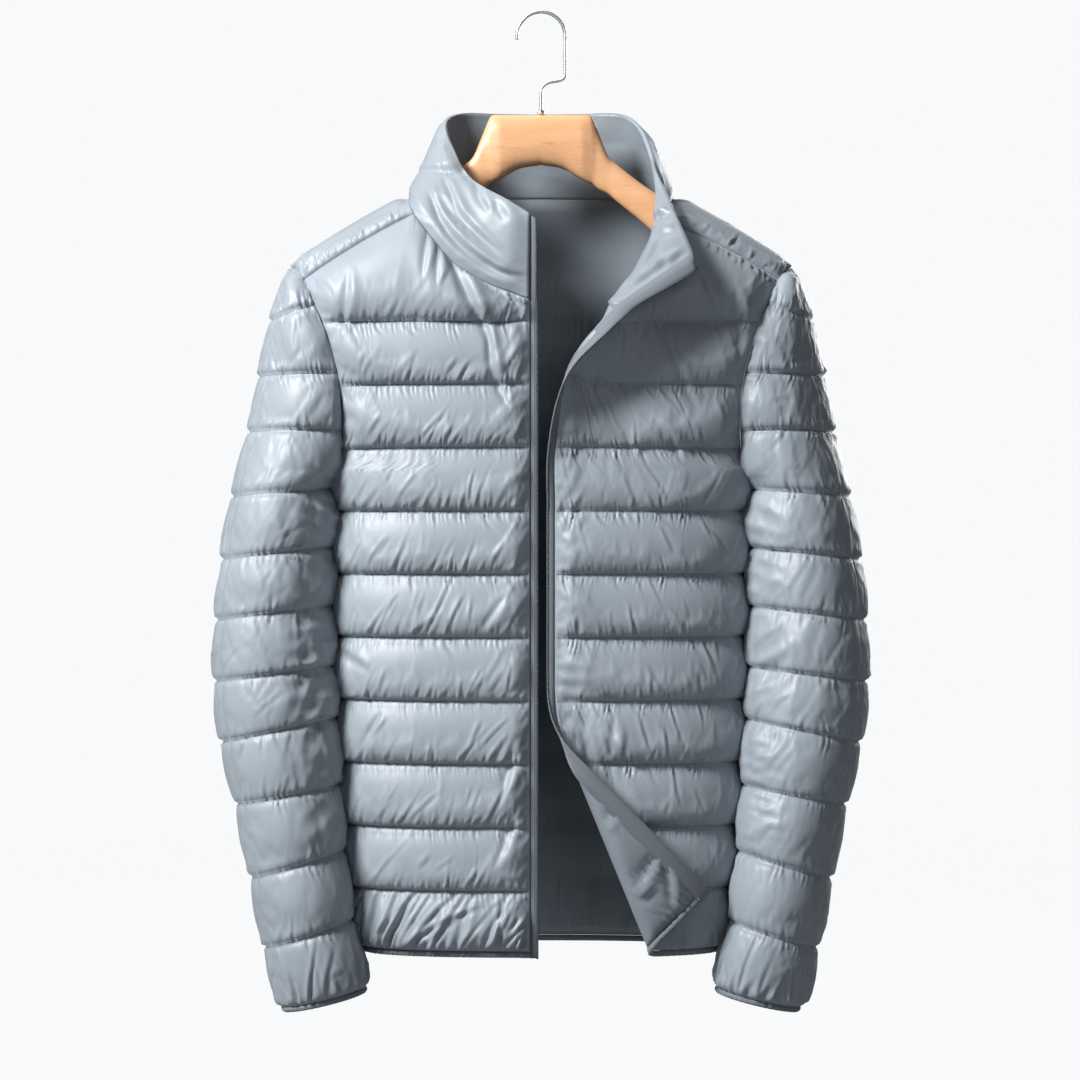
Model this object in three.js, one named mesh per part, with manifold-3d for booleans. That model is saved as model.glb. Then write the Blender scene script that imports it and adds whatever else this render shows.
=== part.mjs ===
// A quilted puffer jacket hanging open on a contoured wooden hanger.
// Millimetres, +Z up. The origin is the inside crest of the hook, where a rail holds it.
// -Y is the jacket's front, -X is the wearer's right, +X the wearer's left.
import * as THREE from 'three';
import Module from 'manifold-3d';

const wasm = await Module();
wasm.setup();

const RAD = Math.PI / 180;

// Cloth
const SEAM_GAP = 0.3;          // clear space between neighbouring pieces
const NECK_GAP = 0.45;         // the same along the tightly curved neckline
const ROLL_GAP = 1.2;          // what the gap grows by where the lapel rolls over
const SEAM_WALL = 2.2;         // both nylon layers and the flattened padding at a stitch line
const BODY_CROWN = 8.5;        // how far a body channel rises over its stitch lines
const SLEEVE_CROWN = 8;
const COLLAR_CROWN = 4.5;
const SHOULDER_CROWN = 7.5;
const EDGE_TAPER = 17;         // a channel flattens over this run into a panel's edge
const PILLOW_POWER = 0.62;     // under 1 makes a channel full-bellied
const PILLOW_SAG = 0.85;       // under 1 puts the belly below the channel's middle

// Body
const SECTION_POWER = 2.5;     // superellipse power of the body's plan section
const PANEL_BOTTOM = -827;     // lower edge of the quilted panels
const HEM_CHANNEL = 52.6;      // height of the lowest channel
const CHANNEL_PITCH = 55.2;    // height of every other channel
const YOKE_CHANNEL = 10;       // row coordinate of the highest stitch line on a front
const ZIP_EDGE = { right: 9.5, left: 12 };
const TOP_BULGE = 6;           // forward swell of the channel under the yoke
const BACK_BULGE = 5;          // backward swell of the channels between the shoulders
const FULL_CHANNEL = 55;       // a channel narrower than this is puffed less
const FOLD_PUFF = 0.42;        // what is left of the crown where the corner is folded
const ROLL_PUFF = 0.08;        // the same under the rolled collar

// Armhole and shoulder
const SHOULDER = { x: 219, z: -229 };
const UNDERARM = { x: 180, z: -405 };
const ARMHOLE_HALF_DEPTH = 46;
const ARMHOLE_ROUND = 2.2;
const ARMHOLE_INSET = { front: 20, back: 5 };
const YOKE_DROP = 0.07;        // where the yoke seam meets the armhole, as a share of its height
const UNDERARM_CLEAR = 8.2;    // the sleeve's extra set-out under the arm, past both walls
const SHOULDER_BULGE = 4;

// Sleeve
const HIND_SEAM = 143 * RAD;   // place of the hind-arm seam round the sleeve
const SLEEVE_UNDERARM_ROW = 8.35;
const SLEEVE_LAST_FULL_ROW = 8; // the highest stitch line that goes all round the arm
const SLEEVE_PIECE = {
  front: { girth: 130, reliefRate: 2.2 },
  back: { girth: 190, reliefRate: 3.2 },
};
const INNER_ARM_PUFF = 0.45;   // what is left of the crown where the sleeve lies on the body
const CAP_PUFF = 0.8;          // the same in the channel at the shoulder

// Lower front corner folded outwards
const FOLD_TOP = { x: 16.5, z: -637.7 };
const FOLD_FOOT = { x: 94.6, z: -828.6 };
const FOLD_RADIUS = 12;
const FOLD_TURN = 174 * RAD;

// Lengths that turn a clear space into a share of a piece's own coordinates
const SPAN = { side: 190, neckFront: 90, neckBack: 60, shoulderLong: 115, shoulderWide: 60, sleeve: 150 };
const SHOULDER_RUN = { long: 120, wide: 60 };

// Trim
const TAPE_GAP = 0.9;          // set-out from the zip edge, which curls round the fold
const TAPE_WIDTH = 8.6;
const TAPE_WALL = 1.4;
const COIL = { width: 3.4, height: 2.6 };
const HEM_TRIM = { height: 6.4, outside: 3, inside: 0.8 };
const CUFF_TRIM = { height: 5.5, outside: 2.6, inside: 0.8 };

// Hanger
const WIRE = 1.5;              // radius of the hook's wire
const STEM_CLEAR = 0.3;
const FERRULE = 3.2;
const HOOK_RADIUS = 21.4;

const vec = (x, y, z) => new THREE.Vector3(x, y, z);
const clamp01 = (t) => Math.min(1, Math.max(0, t));
const mix = (a, b, t) => a + (b - a) * t;
const ease = (t) => clamp01(t) ** 2 * (3 - 2 * clamp01(t));
const range = (count) => Array.from({ length: count }, (_, i) => i);

// A short table with named columns, read at any key by a smooth curve through its rows.
class Table {
  constructor(names, rows) {
    this.names = names;
    this.rows = rows;
  }

  slope(i, c) {
    const lo = this.rows[Math.max(0, i - 1)];
    const hi = this.rows[Math.min(this.rows.length - 1, i + 1)];
    return (hi[c] - lo[c]) / (hi[0] - lo[0]);
  }

  at(key) {
    const { rows, names } = this;
    let i = 0;
    while (i < rows.length - 2 && rows[i + 1][0] < key) i += 1;
    const span = rows[i + 1][0] - rows[i][0];
    const t = clamp01((key - rows[i][0]) / span);
    const out = {};
    for (let c = 1; c < names.length; c += 1) {
      const start = (2 * t ** 3 - 3 * t ** 2 + 1) * rows[i][c];
      const end = (3 * t ** 2 - 2 * t ** 3) * rows[i + 1][c];
      const lead = (t ** 3 - 2 * t ** 2 + t) * this.slope(i, c) * span;
      const trail = (t ** 3 - t ** 2) * this.slope(i + 1, c) * span;
      out[names[c]] = start + end + lead + trail;
    }
    return out;
  }
}

// A run of points read by its share of length.
class Run {
  constructor(points) {
    this.points = points;
    this.along = [0];
    for (let i = 1; i < points.length; i += 1) {
      this.along.push(this.along[i - 1] + points[i].distanceTo(points[i - 1]));
    }
    this.length = this.along[points.length - 1];
  }

  at(share) {
    const want = clamp01(share) * this.length;
    let i = 1;
    while (i < this.along.length - 1 && this.along[i] < want) i += 1;
    const span = this.along[i] - this.along[i - 1];
    const t = span > 0 ? (want - this.along[i - 1]) / span : 0;
    return this.points[i - 1].clone().lerp(this.points[i], t);
  }

  share(i) {
    return this.along[i] / this.length;
  }
}

const hermite = (p0, t0, p1, t1, t) => p0.clone().multiplyScalar(2 * t ** 3 - 3 * t ** 2 + 1)
  .addScaledVector(t0, t ** 3 - 2 * t ** 2 + t)
  .addScaledVector(p1, 3 * t ** 2 - 2 * t ** 3)
  .addScaledVector(t1, t ** 3 - t ** 2);

// Body sections
const BODY = new Table(['z', 'halfWidth', 'front', 'back'], [
  [-840, 155, 62, 64],
  [-780, 164, 64, 66],
  [-700, 172, 66, 68],
  [-600, 176, 67, 69],
  [-443, 177, 67, 70],
  [-405, 180, 67, 69],
  [-330, 180, 66, 68],
  [-277, 180, 63, 67],
  [-258, 180, 61, 66],
]);

const rowHeight = (g) => (g < 1
  ? PANEL_BOTTOM + HEM_CHANNEL * g
  : PANEL_BOTTOM + HEM_CHANNEL + CHANNEL_PITCH * (g - 1));

const armholeShare = (z) => clamp01((SHOULDER.z - z) / (SHOULDER.z - UNDERARM.z));

// A point of the armhole: share 0 at the shoulder, 1 under the arm; face -1 front, 1 back.
function armhole(side, share, face) {
  const round = (1 - Math.abs(2 * share - 1) ** ARMHOLE_ROUND) ** (1 / ARMHOLE_ROUND);
  const inset = face < 0
    ? ARMHOLE_INSET.front * Math.sin(Math.PI * share) ** 0.8
    : ARMHOLE_INSET.back * Math.sin(Math.PI * share);
  const x = mix(SHOULDER.x, UNDERARM.x, share) - inset;
  return vec(side * x, face * ARMHOLE_HALF_DEPTH * round, mix(SHOULDER.z, UNDERARM.z, share));
}

// Half of the body's section at one height, from startX out to the side seam or the armhole.
function halfSection(z, face, startX) {
  const row = BODY.at(z);
  const depth = face < 0 ? row.front : row.back;
  const power = SECTION_POWER / 2;
  let halfWidth = row.halfWidth;
  let endY = 0;
  if (z > UNDERARM.z) {
    const end = armhole(1, armholeShare(z), face);
    endY = Math.abs(end.y);
    halfWidth = end.x / (1 - (endY / depth) ** SECTION_POWER) ** (1 / SECTION_POWER);
  }
  const from = Math.asin((startX / halfWidth) ** power);
  const to = Math.acos((endY / depth) ** power);
  const steps = 40;
  return range(steps + 1).map((i) => {
    const a = mix(from, to, i / steps);
    const x = halfWidth * Math.sin(a) ** (1 / power);
    return vec(x, face * depth * Math.max(0, Math.cos(a)) ** (1 / power), z);
  });
}

// Neckline and collar top, in matching rows from the right front edge round the back
const NECK_RIGHT = [
  [-9.6, -68, -258.2], [-44.4, -63, -246.4], [-75, -57, -228.4], [-97, -50, -203],
  [-111, -40, -183], [-115, -20, -171], [-114, 0, -166], [-106, 27, -166],
  [-85, 43, -163], [-45, 54, -161],
];
const NECK_LEFT = [
  [0, 57, -160], [45, 54, -161], [85, 43, -163], [106, 27, -166], [114, 0, -166],
  [113, -18, -172], [107, -37, -188], [94, -54, -216], [78, -74, -241], [62, -91, -258],
  [58, -101, -264], [62, -109, -267], [73, -112, -268],
];
const TOP_RIGHT = [
  [-8.7, -71, -185], [-30, -62, -171], [-46, -50, -162], [-58, -37, -154],
  [-68, -24, -142], [-76, -10, -124], [-82, 4, -107], [-82, 20, -92],
  [-68, 38, -84], [-38, 50, -83],
];
const TOP_LEFT = [
  [0, 54, -83], [36, 50, -83], [66, 40, -84], [80, 25, -92], [88, 10, -104],
  [92, 0, -115], [97, -15, -131], [105, -31, -152], [115, -52, -177], [124, -72, -200],
  [129, -82, -213], [132, -88, -222], [134, -90, -228],
];
const curveThrough = (rows) => new THREE.CatmullRomCurve3(
  rows.map(([x, y, z]) => vec(x, y, z)), false, 'centripetal');
const NECKLINE = curveThrough([...NECK_RIGHT, ...NECK_LEFT]);
const COLLAR_TOP = curveThrough([...TOP_RIGHT, ...TOP_LEFT]);
const NECK_ROWS = NECK_RIGHT.length + NECK_LEFT.length - 1;
const NECK_STEP = 6;           // points kept between two rows of the neckline tables
const ROLL_ROW = 18.5;         // neckline row where the left front rolls over
const COLLAR_HEIGHT = 74;
const COLLAR_LENGTH = 460;
const CORNER = { frontRight: 4, backRight: 7, backLeft: 13, frontLeft: 16 };
const onNeck = (row) => NECKLINE.getPoint(clamp01(row / NECK_ROWS));
const onCollarTop = (row) => COLLAR_TOP.getPoint(clamp01(row / NECK_ROWS));

function neckRun(from, to) {
  const steps = Math.abs(to - from) * NECK_STEP;
  return range(steps + 1).map((i) => onNeck(mix(from, to, i / steps)));
}

// A seam from a corner of the neck to the armhole, swelling a little at its middle.
function shoulderSeam(side, face) {
  const corners = side < 0
    ? [CORNER.frontRight, CORNER.backRight]
    : [CORNER.frontLeft, CORNER.backLeft];
  const from = onNeck(face < 0 ? corners[0] : corners[1]);
  const to = armhole(side, YOKE_DROP, face);
  const steps = 12;
  return range(steps + 1).map((i) => {
    const t = i / steps;
    const swell = SHOULDER_BULGE * 4 * t * (1 - t);
    return from.clone().lerp(to, t).add(vec(0, face * swell, 0.6 * swell));
  });
}

// How far a point lies past the start of the fold, square to it, and how far it is bent
const FOLD = (() => {
  const dx = FOLD_FOOT.x - FOLD_TOP.x;
  const dz = FOLD_FOOT.z - FOLD_TOP.z;
  const length = Math.hypot(dx, dz);
  const across = { x: dz / length, z: -dx / length };
  return {
    across,
    x: FOLD_TOP.x - FOLD_RADIUS * across.x,
    z: FOLD_TOP.z - FOLD_RADIUS * across.z,
  };
})();
const pastFold = (p) => (p.x - FOLD.x) * FOLD.across.x + (p.z - FOLD.z) * FOLD.across.z;

// Folds the lower left front outwards, over the face that it turns from.
function foldOut(p) {
  const past = pastFold(p);
  if (past <= 0) return p;
  const turn = Math.min(past / FOLD_RADIUS, FOLD_TURN);
  const rest = past - turn * FOLD_RADIUS;
  const reach = FOLD_RADIUS * Math.sin(turn) + rest * Math.cos(turn);
  const lift = FOLD_RADIUS * (1 - Math.cos(turn)) + rest * Math.sin(turn);
  const x = p.x + (reach - past) * FOLD.across.x;
  const z = p.z + (reach - past) * FOLD.across.z;
  const row = BODY.at(z);
  const depth = row.front
    * Math.max(0, 1 - Math.abs(x / row.halfWidth) ** SECTION_POWER) ** (1 / SECTION_POWER);
  return vec(x, -depth - lift, z);
}

// How each stitch line of the left front leaves the chest and rolls out to its zip edge
const LAPEL = new Table(['row', 'leaveX', 'edgeX', 'edgeY', 'edgeZ', 'turn'], [
  [7, 34, 12.2, -66.9, -443.2, 0],
  [8, 50, 12.2, -76, -387, 25],
  [9, 80, 22.6, -97, -325, 95],
  [10, 120, 59, -111, -282, 150],
]);
const LAPEL_FIRST_ROW = 7;

function sectionRun(side, g) {
  const z = rowHeight(g);
  if (side < 0) return halfSection(z, -1, ZIP_EDGE.right).map((p) => p.setX(-p.x));
  if (g <= LAPEL_FIRST_ROW) return halfSection(z, -1, ZIP_EDGE.left);
  const lapel = LAPEL.at(g);
  const chest = halfSection(z, -1, lapel.leaveX);
  const edge = vec(lapel.edgeX, lapel.edgeY, lapel.edgeZ);
  const reach = edge.distanceTo(chest[0]) * (1 + 0.3 * lapel.turn / 150);
  const leave = chest[0].clone().sub(chest[1]).normalize().multiplyScalar(reach);
  const turn = lapel.turn * RAD;
  const arrive = vec(-Math.cos(turn), -Math.sin(turn), 0).multiplyScalar(reach);
  const steps = 24;
  const roll = range(steps).map((i) => hermite(chest[0], leave, edge, arrive, 1 - i / steps));
  return [...roll, ...chest];
}

// One front: u runs from the zip edge to the side seam, g up the rows of quilting.
class Front {
  constructor(side) {
    this.side = side;
    const neck = side < 0
      ? neckRun(0, CORNER.frontRight)
      : neckRun(NECK_ROWS, CORNER.frontLeft);
    this.neckPoints = neck.length;
    this.top = new Run([...neck, ...shoulderSeam(side, -1).slice(1)]);
    this.yokeRow = new Run(sectionRun(side, YOKE_CHANNEL));
    this.rowCache = new Map();
  }

  row(g) {
    if (!this.rowCache.has(g)) this.rowCache.set(g, new Run(sectionRun(this.side, g)));
    return this.rowCache.get(g);
  }

  at(u, g) {
    if (g <= YOKE_CHANNEL) {
      const p = this.row(g).at(u);
      return this.side > 0 ? foldOut(p) : p;
    }
    const t = g - YOKE_CHANNEL;
    const p = this.yokeRow.at(u).lerp(this.top.at(u), t);
    const yokeShare = armholeShare(rowHeight(YOKE_CHANNEL));
    const want = armhole(this.side, mix(yokeShare, YOKE_DROP, t), -1);
    const have = this.yokeRow.at(1).lerp(this.top.at(1), t);
    p.addScaledVector(want.sub(have), clamp01(u) ** 5);
    p.y -= TOP_BULGE * 4 * t * (1 - t) * ease((1 - u) * 5) * ease(u * 5);
    return p;
  }

  // Column places that fall on the neckline's own points, then along the yoke.
  columns(step) {
    const marks = range(this.top.points.length)
      .filter((i) => (i < this.neckPoints ? i % step === 0 : (i - this.neckPoints + 1) % 2 === 0));
    return marks.map((i) => this.top.share(i));
  }

  puff(u, g) {
    const row = g <= YOKE_CHANNEL ? this.row(g) : this.yokeRow;
    const fromEdge = Math.min(u, 1 - u) * row.length;
    let crown = BODY_CROWN * pillow(g) * taper(fromEdge);
    if (g > YOKE_CHANNEL) {
      crown *= Math.min(1, this.yokeRow.at(u).distanceTo(this.top.at(u)) / FULL_CHANNEL);
    }
    if (this.side > 0 && g <= LAPEL_FIRST_ROW) {
      const past = pastFold(row.at(u));
      const bend = FOLD_RADIUS * FOLD_TURN;
      if (past > -14 && past < bend + 8) crown *= FOLD_PUFF;
    }
    if (this.side > 0 && g > YOKE_CHANNEL && u < 0.5) crown *= ROLL_PUFF;
    return crown * underarmRelief(u, g);
  }
}

const pillow = (g) => {
  const t = g - Math.floor(g + 1e-6);
  return t < 1e-3 ? 0 : Math.sin(Math.PI * t ** PILLOW_SAG) ** PILLOW_POWER;
};
const taper = (run) => ease(run / EDGE_TAPER) ** 0.6;
const underarmRelief = (u, g) => mix(1, 0.55, ease((u - 0.8) / 0.2) * ease((9.4 - g) / 1));

// The back: u runs from the right side seam to the left one.
class Back {
  constructor() {
    const right = shoulderSeam(-1, 1).reverse();
    const left = shoulderSeam(1, 1);
    const neck = neckRun(CORNER.backRight, CORNER.backLeft);
    this.seamPoints = right.length;
    this.neckPoints = neck.length;
    this.top = new Run([...right, ...neck.slice(1, -1), ...left]);
    this.rowCache = new Map();
  }

  row(g) {
    if (!this.rowCache.has(g)) {
      const half = halfSection(rowHeight(Math.min(g, YOKE_CHANNEL)), 1, 0);
      const right = half.map((p) => vec(-p.x, p.y, p.z)).reverse();
      this.rowCache.set(g, new Run([...right, ...half.slice(1)]));
    }
    return this.rowCache.get(g);
  }

  // Stitch lines above the arms are spaced by their share of the armhole.
  rise(g) {
    const seam = (armholeShare(rowHeight(YOKE_CHANNEL)) - BACK_SEAM_SHARE)
      / (armholeShare(rowHeight(YOKE_CHANNEL)) - YOKE_DROP);
    return g <= YOKE_CHANNEL + 1
      ? seam * (g - YOKE_CHANNEL)
      : mix(seam, 1, g - YOKE_CHANNEL - 1);
  }

  at(u, g) {
    if (g <= YOKE_CHANNEL) return this.row(g).at(u);
    const t = this.rise(g);
    const base = this.row(YOKE_CHANNEL);
    const p = base.at(u).lerp(this.top.at(u), t);
    const end = u < 0.5 ? 0 : 1;
    const yokeShare = armholeShare(rowHeight(YOKE_CHANNEL));
    const want = armhole(u < 0.5 ? -1 : 1, mix(yokeShare, YOKE_DROP, t), 1);
    const have = base.at(end).lerp(this.top.at(end), t);
    p.addScaledVector(want.sub(have), clamp01(Math.abs(2 * u - 1)) ** 8);
    p.y += BACK_BULGE * 4 * t * (1 - t) * ease((1 - Math.abs(2 * u - 1)) * 4);
    return p;
  }

  columns() {
    const { seamPoints, neckPoints } = this;
    const seam = [0, 2, 4, 6, 9, 12];
    const neckEnd = seamPoints - 1 + neckPoints - 1;
    const marks = [
      ...seam,
      ...range(neckPoints - 1).slice(1).filter((i) => i % 3 === 0).map((i) => seamPoints - 1 + i),
      ...seam.map((i) => neckEnd + 12 - i).reverse(),
    ];
    return marks.map((i) => this.top.share(i));
  }

  puff(u, g) {
    const fromEdge = Math.min(u, 1 - u) * this.row(g).length;
    return BODY_CROWN * pillow(g) * taper(fromEdge) * underarmRelief(Math.abs(2 * u - 1), g);
  }
}

// Shoulder piece between the yoke seam, the neckline, the back seam and the sleeve.
class Shoulder {
  constructor(side) {
    this.side = side;
    this.front = new Run(shoulderSeam(side, -1));
    this.back = new Run(shoulderSeam(side, 1));
  }

  neckEnd(v) {
    return onNeck(this.side < 0
      ? mix(CORNER.frontRight, CORNER.backRight, v)
      : mix(CORNER.frontLeft, CORNER.backLeft, v));
  }

  armEnd(v) {
    const turn = 2 * v - 1;
    return armhole(this.side, YOKE_DROP * turn ** 2, turn < 0 ? -1 : 1);
  }

  at(u, v) {
    const p = this.front.at(u).lerp(this.back.at(u), v);
    p.add(this.neckEnd(v).lerp(this.armEnd(v), u));
    const near = this.neckEnd(0).lerp(this.neckEnd(1), v);
    const far = this.armEnd(0).lerp(this.armEnd(1), v);
    return p.sub(near.lerp(far, u));
  }

  puff(u, v) {
    const long = Math.min(u, 1 - u) * SHOULDER_RUN.long;
    const wide = Math.min(v, 1 - v) * SHOULDER_RUN.wide;
    return SHOULDER_CROWN * taper(long) * taper(wide);
  }
}

// Sleeve stitch lines on the right: outer and inner points, half depth and middle in depth
const SLEEVE = new Table(['row', 'outX', 'outZ', 'inX', 'inZ', 'halfDepth', 'midY'], [
  [0, -226, -877, -157, -861, 36, -36],
  [1, -239.4, -825, -171.6, -803, 42, -32],
  [2, -251.8, -764.5, -180.4, -742, 46, -27],
  [3, -265, -700, -186.6, -684, 50, -22],
  [4, -278.2, -645.6, -192, -626, 52, -18],
  [5, -284.4, -592.7, -196, -580, 54, -14],
  [6, -283.5, -539, -199, -527, 55, -10],
  [7, -279.1, -486, -195.4, -475, 56, -6],
  [8, -270.3, -430.6, -189.5, -424, 56, -3.5],
  [9, -256.2, -373.4, -187, -395, 54, 0],
  [10, -247.4, -324, -187, -395, 50, 0],
  [11, -236.8, -274.7, -187, -395, 42, 0],
  [11.667, -227, -241.5, -187, -395, 29, 0],
  [11.87, -222.6, -233.4, -187, -395, 20, 0],
  [12, -219.9, -229.7, -187, -395, 10, 0],
]);
// Armhole share that each sleeve row above the underarm starts from
const CAP_SHARES = [
  [8.35, 1], [9, 0.81], [10, 0.53], [11, 0.19], [11.667, YOKE_DROP],
  [11.87, YOKE_DROP * 4 / 9], [12, YOKE_DROP / 9],
];
const BACK_SEAM_SHARE = 0.19;

function capShare(g) {
  let i = 0;
  while (i < CAP_SHARES.length - 2 && CAP_SHARES[i + 1][0] < g) i += 1;
  const [g0, s0] = CAP_SHARES[i];
  const [g1, s1] = CAP_SHARES[i + 1];
  return mix(s0, s1, clamp01((g - g0) / (g1 - g0)));
}

function capRow(share) {
  let i = 0;
  while (i < CAP_SHARES.length - 2 && CAP_SHARES[i + 1][1] > share) i += 1;
  const [g0, s0] = CAP_SHARES[i];
  const [g1, s1] = CAP_SHARES[i + 1];
  return mix(g0, g1, (s0 - share) / (s0 - s1));
}

// Set-out of the sleeve's edge from the armhole, wider under the arm.
const setOut = (share) => NECK_GAP + UNDERARM_CLEAR * ease((share - 0.5) / 0.34);

// One sleeve piece: u runs round from the front of the armhole to the back.
class SleevePiece {
  constructor(side, face) {
    this.side = side;
    this.face = face;
  }

  // The ellipse that a row follows on one face: middle, outward direction, half width and start.
  ellipse(g, face, row) {
    const outer = vec(row.outX, 0, row.outZ);
    const from = vec(row.inX, row.midY, row.inZ);
    if (g > SLEEVE_UNDERARM_ROW - 1e-9) {
      const share = capShare(g);
      from.copy(armhole(-1, share, face));
      from.x -= setOut(share);
      from.z -= 0.4 * setOut(share);
    } else if (g > SLEEVE_LAST_FULL_ROW) {
      const t = (g - SLEEVE_LAST_FULL_ROW) / (SLEEVE_UNDERARM_ROW - SLEEVE_LAST_FULL_ROW);
      const under = armhole(-1, 1, face);
      from.lerp(vec(under.x - setOut(1), row.midY * (1 - t), under.z - 0.4 * setOut(1)), t);
    }
    const start = Math.asin(Math.min(1, Math.abs(from.y - row.midY) / row.halfDepth));
    const flat = vec(from.x, 0, from.z);
    const half = outer.distanceTo(flat) / (1 + Math.cos(start));
    const out = outer.clone().sub(flat).normalize();
    return { start, half, out, middle: outer.clone().addScaledVector(out, -half) };
  }

  at(u, g) {
    const row = SLEEVE.at(g);
    const { start, half, out, middle } = this.ellipse(g, this.face, row);
    const turn = this.face < 0
      ? mix(start, HIND_SEAM, u)
      : mix(HIND_SEAM, 2 * Math.PI - start, u);
    const p = middle.addScaledVector(out, -half * Math.cos(turn));
    p.y = row.midY - row.halfDepth * Math.sin(turn);
    if (this.face > 0 && turn < Math.PI) {
      const fade = ease((Math.PI - turn) / (Math.PI - HIND_SEAM));
      const front = this.ellipse(g, -1, row);
      const meet = front.middle.addScaledVector(front.out, -front.half * Math.cos(turn));
      p.x = mix(p.x, meet.x, fade);
      p.z = mix(p.z, meet.z, fade);
    }
    if (this.side > 0) p.x = -p.x;
    return p;
  }

  puff(u, g) {
    const { girth, reliefRate } = this.face < 0 ? SLEEVE_PIECE.front : SLEEVE_PIECE.back;
    const long = Math.min(u, 1 - u) * girth;
    const fromInner = this.face < 0 ? u : 1 - u;
    const nearBody = mix(INNER_ARM_PUFF, 1, ease(fromInner * reliefRate));
    const nearCap = g > 11 ? CAP_PUFF : 1;
    return SLEEVE_CROWN * pillow(g) * taper(long) * nearBody * nearCap;
  }
}

// The collar, from the right front edge round the neck to the left front edge.
class Collar {
  at(u, v) {
    const row = u * NECK_ROWS;
    const gap = NECK_GAP + ROLL_GAP * Math.exp(-(((row - ROLL_ROW) / 2) ** 2));
    return onNeck(row).lerp(onCollarTop(row), mix(gap / COLLAR_HEIGHT, 1, v));
  }

  puff(u, v) {
    const wide = Math.min(v, 1 - v) * COLLAR_HEIGHT;
    const long = Math.min(u, 1 - u) * COLLAR_LENGTH;
    return COLLAR_CROWN * taper(wide) * taper(long);
  }
}

// A closed cloth wall: a plain inner face, and an outer face that carries the quilting.
class Wall {
  constructor({ name, piece, columns, rows, innerRows, outward, wall = SEAM_WALL }) {
    Object.assign(this, { name, piece, columns, rows, innerRows, outward, wall });
    this.base = rows.map((g) => columns.map((u) => piece.at(u, g)));
    this.normal = rows.map((g) => columns.map((u) => this.normalAt(u, g)));
    this.raw = this.normal.map((line) => line.map((n) => n.clone()));
  }

  normalAt(u, g) {
    const { columns, rows, piece } = this;
    const du = 0.006;
    const dg = 0.006 * (rows[rows.length - 1] - rows[0]);
    const clampU = (t) => Math.min(columns[columns.length - 1], Math.max(columns[0], t));
    const clampG = (t) => Math.min(rows[rows.length - 1], Math.max(rows[0], t));
    const across = piece.at(clampU(u + du), g).sub(piece.at(clampU(u - du), g));
    const up = piece.at(u, clampG(g + dg)).sub(piece.at(u, clampG(g - dg)));
    return across.cross(up).normalize().multiplyScalar(this.outward);
  }

  // Edge vertices with their unshared normals, as four polylines.
  edges() {
    const lastRow = this.rows.length - 1;
    const lastColumn = this.columns.length - 1;
    const pick = (i, j) => ({ p: this.base[i][j], n: this.raw[i][j], i, j });
    return [
      this.columns.map((_, j) => pick(0, j)),
      this.columns.map((_, j) => pick(lastRow, j)),
      this.rows.map((_, i) => pick(i, 0)),
      this.rows.map((_, i) => pick(i, lastColumn)),
    ];
  }

  mesh(colour, roughness) {
    const outer = this.base.map((line, i) => line.map((p, j) => {
      const lift = this.wall + this.piece.puff(this.columns[j], this.rows[i]);
      return p.clone().addScaledVector(this.normal[i][j], lift);
    }));
    const inner = this.innerRows.map((i) => this.base[i]);
    const body = new Shell();
    const outside = body.addGrid(outer);
    const inside = body.addGrid(inner);
    body.quads(outside, false);
    body.quads(inside, true);
    const innerPlace = this.innerRows.map((i) => this.rows[i]);
    const column = (grid, j) => grid.map((line) => line[j]);
    const last = this.columns.length - 1;
    body.strip(outside[0], inside[0], this.columns, this.columns, false);
    body.strip(outside[outside.length - 1], inside[inside.length - 1], this.columns, this.columns, true);
    body.strip(column(outside, 0), column(inside, 0), this.rows, innerPlace, true);
    body.strip(column(outside, last), column(inside, last), this.rows, innerPlace, false);
    return body.toMesh(this.name, colour, roughness);
  }
}

// Vertices and faces of one closed solid.
class Shell {
  constructor() {
    this.points = [];
    this.faces = [];
  }

  add(p) {
    this.points.push(p);
    return this.points.length - 1;
  }

  addGrid(grid) {
    return grid.map((line) => line.map((p) => this.add(p)));
  }

  face(a, b, c, flip) {
    this.faces.push(flip ? [a, c, b] : [a, b, c]);
  }

  quads(grid, flip) {
    for (let i = 0; i < grid.length - 1; i += 1) {
      for (let j = 0; j < grid[i].length - 1; j += 1) {
        this.face(grid[i][j], grid[i][j + 1], grid[i + 1][j + 1], flip);
        this.face(grid[i][j], grid[i + 1][j + 1], grid[i + 1][j], flip);
      }
    }
  }

  // Closes the rim between two polylines whose points need not match.
  strip(outer, inner, outerPlace, innerPlace, flip) {
    let i = 0;
    let k = 0;
    while (i < outer.length - 1 || k < inner.length - 1) {
      const stepOuter = k === inner.length - 1
        || (i < outer.length - 1 && outerPlace[i + 1] <= innerPlace[k + 1] + 1e-9);
      if (stepOuter) {
        this.face(outer[i], inner[k], outer[i + 1], flip);
        i += 1;
      } else {
        this.face(outer[i], inner[k], inner[k + 1], flip);
        k += 1;
      }
    }
  }

  toGeometry() {
    const p = this.points;
    const volume = this.faces.reduce(
      (sum, [a, b, c]) => sum + p[a].dot(p[b].clone().cross(p[c])), 0);
    const faces = volume < 0 ? this.faces.map(([a, b, c]) => [a, c, b]) : this.faces;
    const geometry = new THREE.BufferGeometry();
    geometry.setAttribute('position', new THREE.Float32BufferAttribute(
      p.flatMap((q) => [q.x, q.y, q.z]), 3));
    geometry.setIndex(faces.flat());
    return geometry;
  }

  toMesh(name, colour, roughness, metalness = 0) {
    return asMesh(this.toGeometry(), name, colour, roughness, metalness);
  }
}

function asMesh(geometry, name, colour, roughness, metalness = 0) {
  geometry.computeVertexNormals();
  const mesh = new THREE.Mesh(
    geometry, new THREE.MeshStandardMaterial({ color: colour, roughness, metalness }));
  mesh.name = name;
  return mesh;
}

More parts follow.
